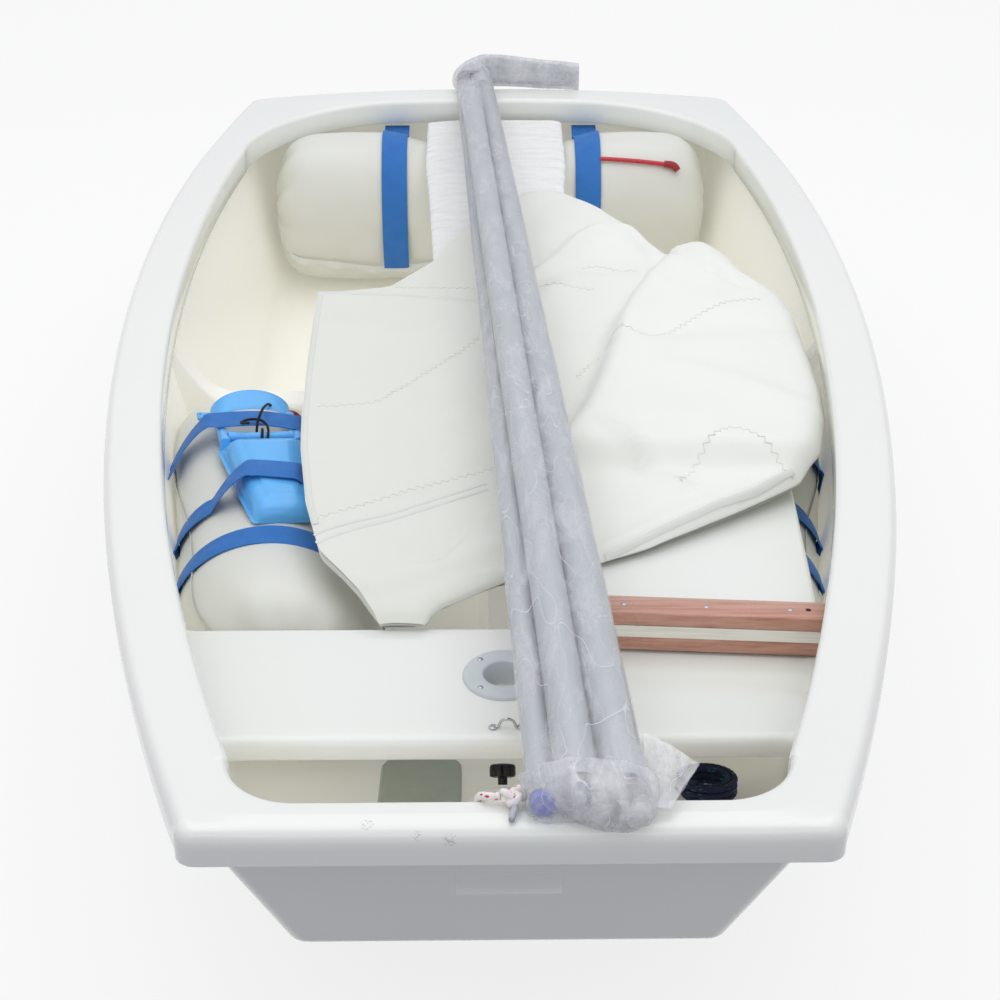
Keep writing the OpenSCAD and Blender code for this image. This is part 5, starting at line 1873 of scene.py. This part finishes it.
def build_lashing():
    """Light line round the coil."""
    centre, slope = painter_coil()
    upright = Matrix.Translation((58, 0, 0)) @ Matrix.Rotation(math.radians(90), 4, "X")
    m = Matrix.Translation(centre) @ Matrix.Rotation(-slope, 4, "X") @ upright
    wrap = []
    for i in range(121):
        a = 2 * math.pi * 3 * i / 120
        wrap.append(m @ Vector((23.0 * math.cos(a), 18.2 * math.sin(a), mix(-5, 5, i / 120))))
    v, f, uvs = tube(wrap, 1.6, 8)
    return piece(
        "coil_lashing", v, f, MATS["rope_white_red"], sharp=180, replaces=("coil_tie",),
        uvs=uvs
    )


def build_painter():
    """Painter: a coil in the bow well and a run up to the knot on the rim."""
    centre, slope = painter_coil()
    places = []
    for z, xs in (
        (-7.2, (-12.4, -4.1, 4.1, 12.4)), (0.2, (16.2, 8.1, 0.0, -8.1, -16.2)),
        (7.6, (-12.4, -4.1, 4.1, 12.4)), (12.2, (10.0,))
    ):
        places += [(x, z) for x in xs]
    turns = coil_line(centre, -slope, 58, places)
    lead = [(-40, 356, floor_z(356) + 13), (-52, 338, floor_z(338) + 11), (-48, 318, floor_z(318) + 9)]
    lead = spline(lead + [tuple(turns[3])], 8)[:-1]
    last = turns[-1]
    up = [
        (-46, 186, 258), (-44, 150, 282), (-42, 112, 336), (-38, 74, 396), (-34, 60, 424),
        (-32, 57.6, 444), (-30, 54, 457.5), (-25, 46.5, 465), (-18, 43, 467), (-10, 42, 468.5)
    ]
    mid = [tuple(last), (mix(last[0], -46, 0.5), mix(last[1], 186, 0.5), mix(last[2], 250, 0.5))]
    line = even(lead + turns[3:] + spline(mid + up, 8)[1:], 2.9)
    v, f, uvs = tube(line, 4.25, 12, lobes=3, pitch=24)
    rope = piece(
        "painter_rope", v, f, MATS["rope_white_red"], sharp=180, replaces=("painter_line", "painter_coil"),
        uvs=uvs
    )
    knot, tie = build_stopper(), build_lashing()


def build_sheet_rope():
    """Navy rope coiled on the floor forward."""
    slope = math.atan((keel(440) - keel(560)) / 120)
    centre = Vector((262, 500, floor_z(500) + 6.4))
    places = [(-4.2, 0), (4.2, 0.4), (4.2, 8.6), (-4.2, 8.4), (-4.2, 16.6), (4.2, 16.8), (1, 22.4)]
    line = even(coil_line(centre, -slope, 31.5, places, 36), 2.9)
    v, f, uvs = tube(line, 4.2, 12, lobes=3, pitch=24)
    navy = piece(
        "sheet_rope", v, f, MATS["rope_navy"], sharp=180, replaces=("sheet_coil",),
        uvs=uvs
    )


# ---- finishes on packed parts, stage ---------------------------------------


def dress_parts():
    """Gives every packed part that stays visible its finish."""
    finish = {
        "board_case": "gelcoat_inside", "rudder_gudgeons": "stainless", "strap_anchors": "webbing_blue",
        "mast": "aluminium_anodised", "boom": "aluminium_anodised", "sprit": "aluminium_anodised",
    }
    for node, name in finish.items():
        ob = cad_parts[node]
        if not ob.data.materials:
            ob.data.materials.append(MATS[name])
        for k in range(len(ob.data.materials)):
            ob.data.materials[k] = MATS[name]


def build_stage():
    """Pale floor, soft studio light and the camera."""
    scene = bpy.context.scene
    me = bpy.data.meshes.new("floor")
    me.from_pydata([(-14, -14, 0), (14, -14, 0), (14, 14, 0), (-14, 14, 0)], [], [(0, 1, 2, 3)])
    mat = bpy.data.materials.new("floor_white")
    mat.use_nodes = True
    tree = mat.node_tree
    tree.nodes.clear()
    path = add(tree, "LightPath")
    seen = add(
        tree, "Math", {0: path.outputs["Is Camera Ray"], 1: path.outputs["Is Glossy Ray"]},
        operation="MAXIMUM"
    )
    seen = add(
        tree, "Math", {0: seen.outputs[0], 1: path.outputs["Is Transmission Ray"]}, operation="MAXIMUM"
    )
    plain = add(tree, "BsdfDiffuse", {"Color": (0.9, 0.9, 0.9, 1)})
    glow = add(tree, "Emission", {"Color": (1, 1, 1, 1), "Strength": 1.0})
    show = add(tree, "MixShader", {0: 0.80, 1: plain.outputs[0], 2: glow.outputs[0]})
    grey = add(tree, "BsdfDiffuse", {"Color": (0.09, 0.09, 0.13, 1)})
    both = add(tree, "MixShader", {0: seen.outputs[0], 1: grey.outputs[0], 2: show.outputs[0]})
    out = add(tree, "OutputMaterial")
    tree.links.new(both.outputs[0], out.inputs[0])
    me.materials.append(mat)
    floor = bpy.data.objects.new("floor", me)
    scene.collection.objects.link(floor)

    world = bpy.data.worlds.new("studio")
    scene.world = world
    world.use_nodes = True
    tree = world.node_tree
    tree.nodes.clear()
    path = add(tree, "LightPath")
    seen = add(
        tree, "Math", {0: path.outputs["Is Camera Ray"], 1: path.outputs["Is Transmission Ray"]},
        operation="MAXIMUM"
    )
    white = add(tree, "Background", {"Color": (1, 1, 1, 1), "Strength": 1.0})
    room = add(tree, "Background", {"Color": (0.93, 0.94, 1.0, 1), "Strength": 0.76})
    both = add(tree, "MixShader", {0: seen.outputs[0], 1: room.outputs[0], 2: white.outputs[0]})
    out = add(tree, "OutputWorld")
    tree.links.new(both.outputs[0], out.inputs[0])

    for name, spot, aim, size, power in (
        ("overhead", (0.0, 0.1, 3.0), (0, 0.1, 0), (3.2, 3.4), 31.0),
        ("strip", (0.0, -3.4, 2.1), (0, -1.18, 0.45), (3.4, 0.10), 5.0),
    ):
        light = bpy.data.lights.new(name, "AREA")
        light.shape = "RECTANGLE"
        light.size, light.size_y = size
        light.energy = power
        light.color = (1.0, 0.995, 0.97)
        ob = bpy.data.objects.new(name, light)
        ob.location = spot
        ob.rotation_euler = (Vector(aim) - Vector(spot)).to_track_quat("-Z", "Y").to_euler()
        scene.collection.objects.link(ob)

    cam = bpy.data.cameras.new("camera")
    cam.sensor_width = 36
    cam.lens = 63.71
    cam.shift_x = 0.0009
    ob = bpy.data.objects.new("camera", cam)
    turn = Matrix.Identity(4)
    for angle, axis in ((-0.87, "Z"), (59.55, "X"), (0.15, "Z")):
        turn = turn @ Matrix.Rotation(math.radians(angle), 4, axis)
    ob.matrix_world = Matrix.Translation((-0.0318, -2.4496, 1.5646)) @ turn
    scene.collection.objects.link(ob)
    scene.camera = ob
    scene.view_settings.view_transform = "Standard"


# ---- add-on -----------------------------------------------------------------

STEPS = (
    ("materials", "Make finishes", "Makes every procedural finish", (make_materials,)),
    ("hull", "Build hull", "Builds the hull shell and the blank bow plate", (build_hull,)),
    ("rim", "Build rim", "Builds the rolled rim", (build_rim,)),
    (
        "thwart", "Build thwart", "Builds the mast thwart, collar and eye",
        (build_thwart, build_collar, build_saddle)
    ),
    (
        "centre", "Build centre", "Builds the frame, mast step, knob and pad",
        (build_frame, build_step, build_knob, build_pad)
    ),
    ("bags", "Build bags", "Builds the three air bags", (build_side_bags, build_stern_bag)),
    ("webbing", "Build webbing", "Builds the bag webbing and filling hoses", (build_webbing, build_hoses)),
    ("bailer", "Build bailer", "Builds the bailer and its cord", (build_scoop, build_grip, build_cord)),
    ("board", "Build board", "Builds the daggerboard and its battens", (build_board, build_battens)),
    ("sail", "Build sail", "Builds the folded sail with its stitching", (build_sail,)),
    (
        "film", "Build wrapping", "Builds the film round the spars",
        (build_sleeve, build_bow_end, build_plugs, build_tail)
    ),
    ("rudder", "Build wrapped rudder", "Builds the wrapped rudder and tiller", (build_wrapped_rudder,)),
    ("ropes", "Build ropes", "Builds the painter and the sheet rope", (build_painter, build_sheet_rope)),
    ("parts", "Finish parts", "Gives the packed parts their finishes", (dress_parts,)),
    ("stage", "Build stage", "Adds floor, light and camera", (build_stage,)),
)


def colour(name, description, code):
    """One colour setting with its default as a hex code."""
    return bpy.props.FloatVectorProperty(
        name=name, description=description, subtype="COLOR", size=4, min=0, max=1, default=srgb(code)
    )


def width(name, description, metres):
    """One width setting with its default."""
    return bpy.props.FloatProperty(
        name=name, description=description, unit="LENGTH", min=0.02, max=0.06, default=metres
    )


class DinghySettings(bpy.types.PropertyGroup):
    """Sizes and colours that a user would change."""

    show_stage: bpy.props.BoolProperty(name="Stage", description="Add floor, light and camera", default=True)
    side_strap_width: width("Side straps", "Width of the straps over the side bags", 0.044)
    stern_strap_width: width("Stern straps", "Width of the straps over the stern bag", 0.050)
    hull_colour: colour("Hull", "White of the outer gelcoat", "#f3f5f0")
    bag_colour: colour("Air bags", "Colour of the bags' cloth", "#e9eae3")
    webbing_colour: colour("Webbing", "Colour of the straps", "#2a7fd4")
    bailer_colour: colour("Bailer", "Colour of the scoop and its grip", "#6cc2ff")


def operator(key, label, doc, works):
    """One operator class that runs the functions of one step."""

    def execute(self, context):
        if key != "stage" or context.scene.dinghy.show_stage:
            for work in works:
                work()
        return {"FINISHED"}

    body = {"bl_idname": "dinghy." + key, "bl_label": label, "__doc__": doc, "execute": execute}
    return type("DINGHY_OT_" + key, (bpy.types.Operator,), body)


OPERATORS = [operator(*step) for step in STEPS]


class DINGHY_PT_build(bpy.types.Panel):
    """Sidebar panel with one button for each group of pieces."""

    bl_label = "Dinghy"
    bl_idname = "DINGHY_PT_build"
    bl_space_type = "VIEW_3D"
    bl_region_type = "UI"
    bl_category = "Dinghy"

    def draw(self, context):
        for key in DinghySettings.__annotations__:
            self.layout.prop(context.scene.dinghy, key)
        for key, label, _, _ in STEPS:
            self.layout.operator("dinghy." + key, text=label)


def register():
    """Registers the classes and the scene's settings."""
    for cls in [DinghySettings, *OPERATORS, DINGHY_PT_build]:
        bpy.utils.register_class(cls)
    bpy.types.Scene.dinghy = bpy.props.PointerProperty(type=DinghySettings)


def unregister():
    """Takes the settings and the classes away again."""
    del bpy.types.Scene.dinghy
    for cls in reversed([DinghySettings, *OPERATORS, DINGHY_PT_build]):
        bpy.utils.unregister_class(cls)


def main():
    """Registers the add-on, runs every step in order and writes the sizes."""
    register()
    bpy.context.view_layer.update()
    for key, _, _, _ in STEPS:
        getattr(bpy.ops.dinghy, key)()


if __name__ == "__main__":
    main()
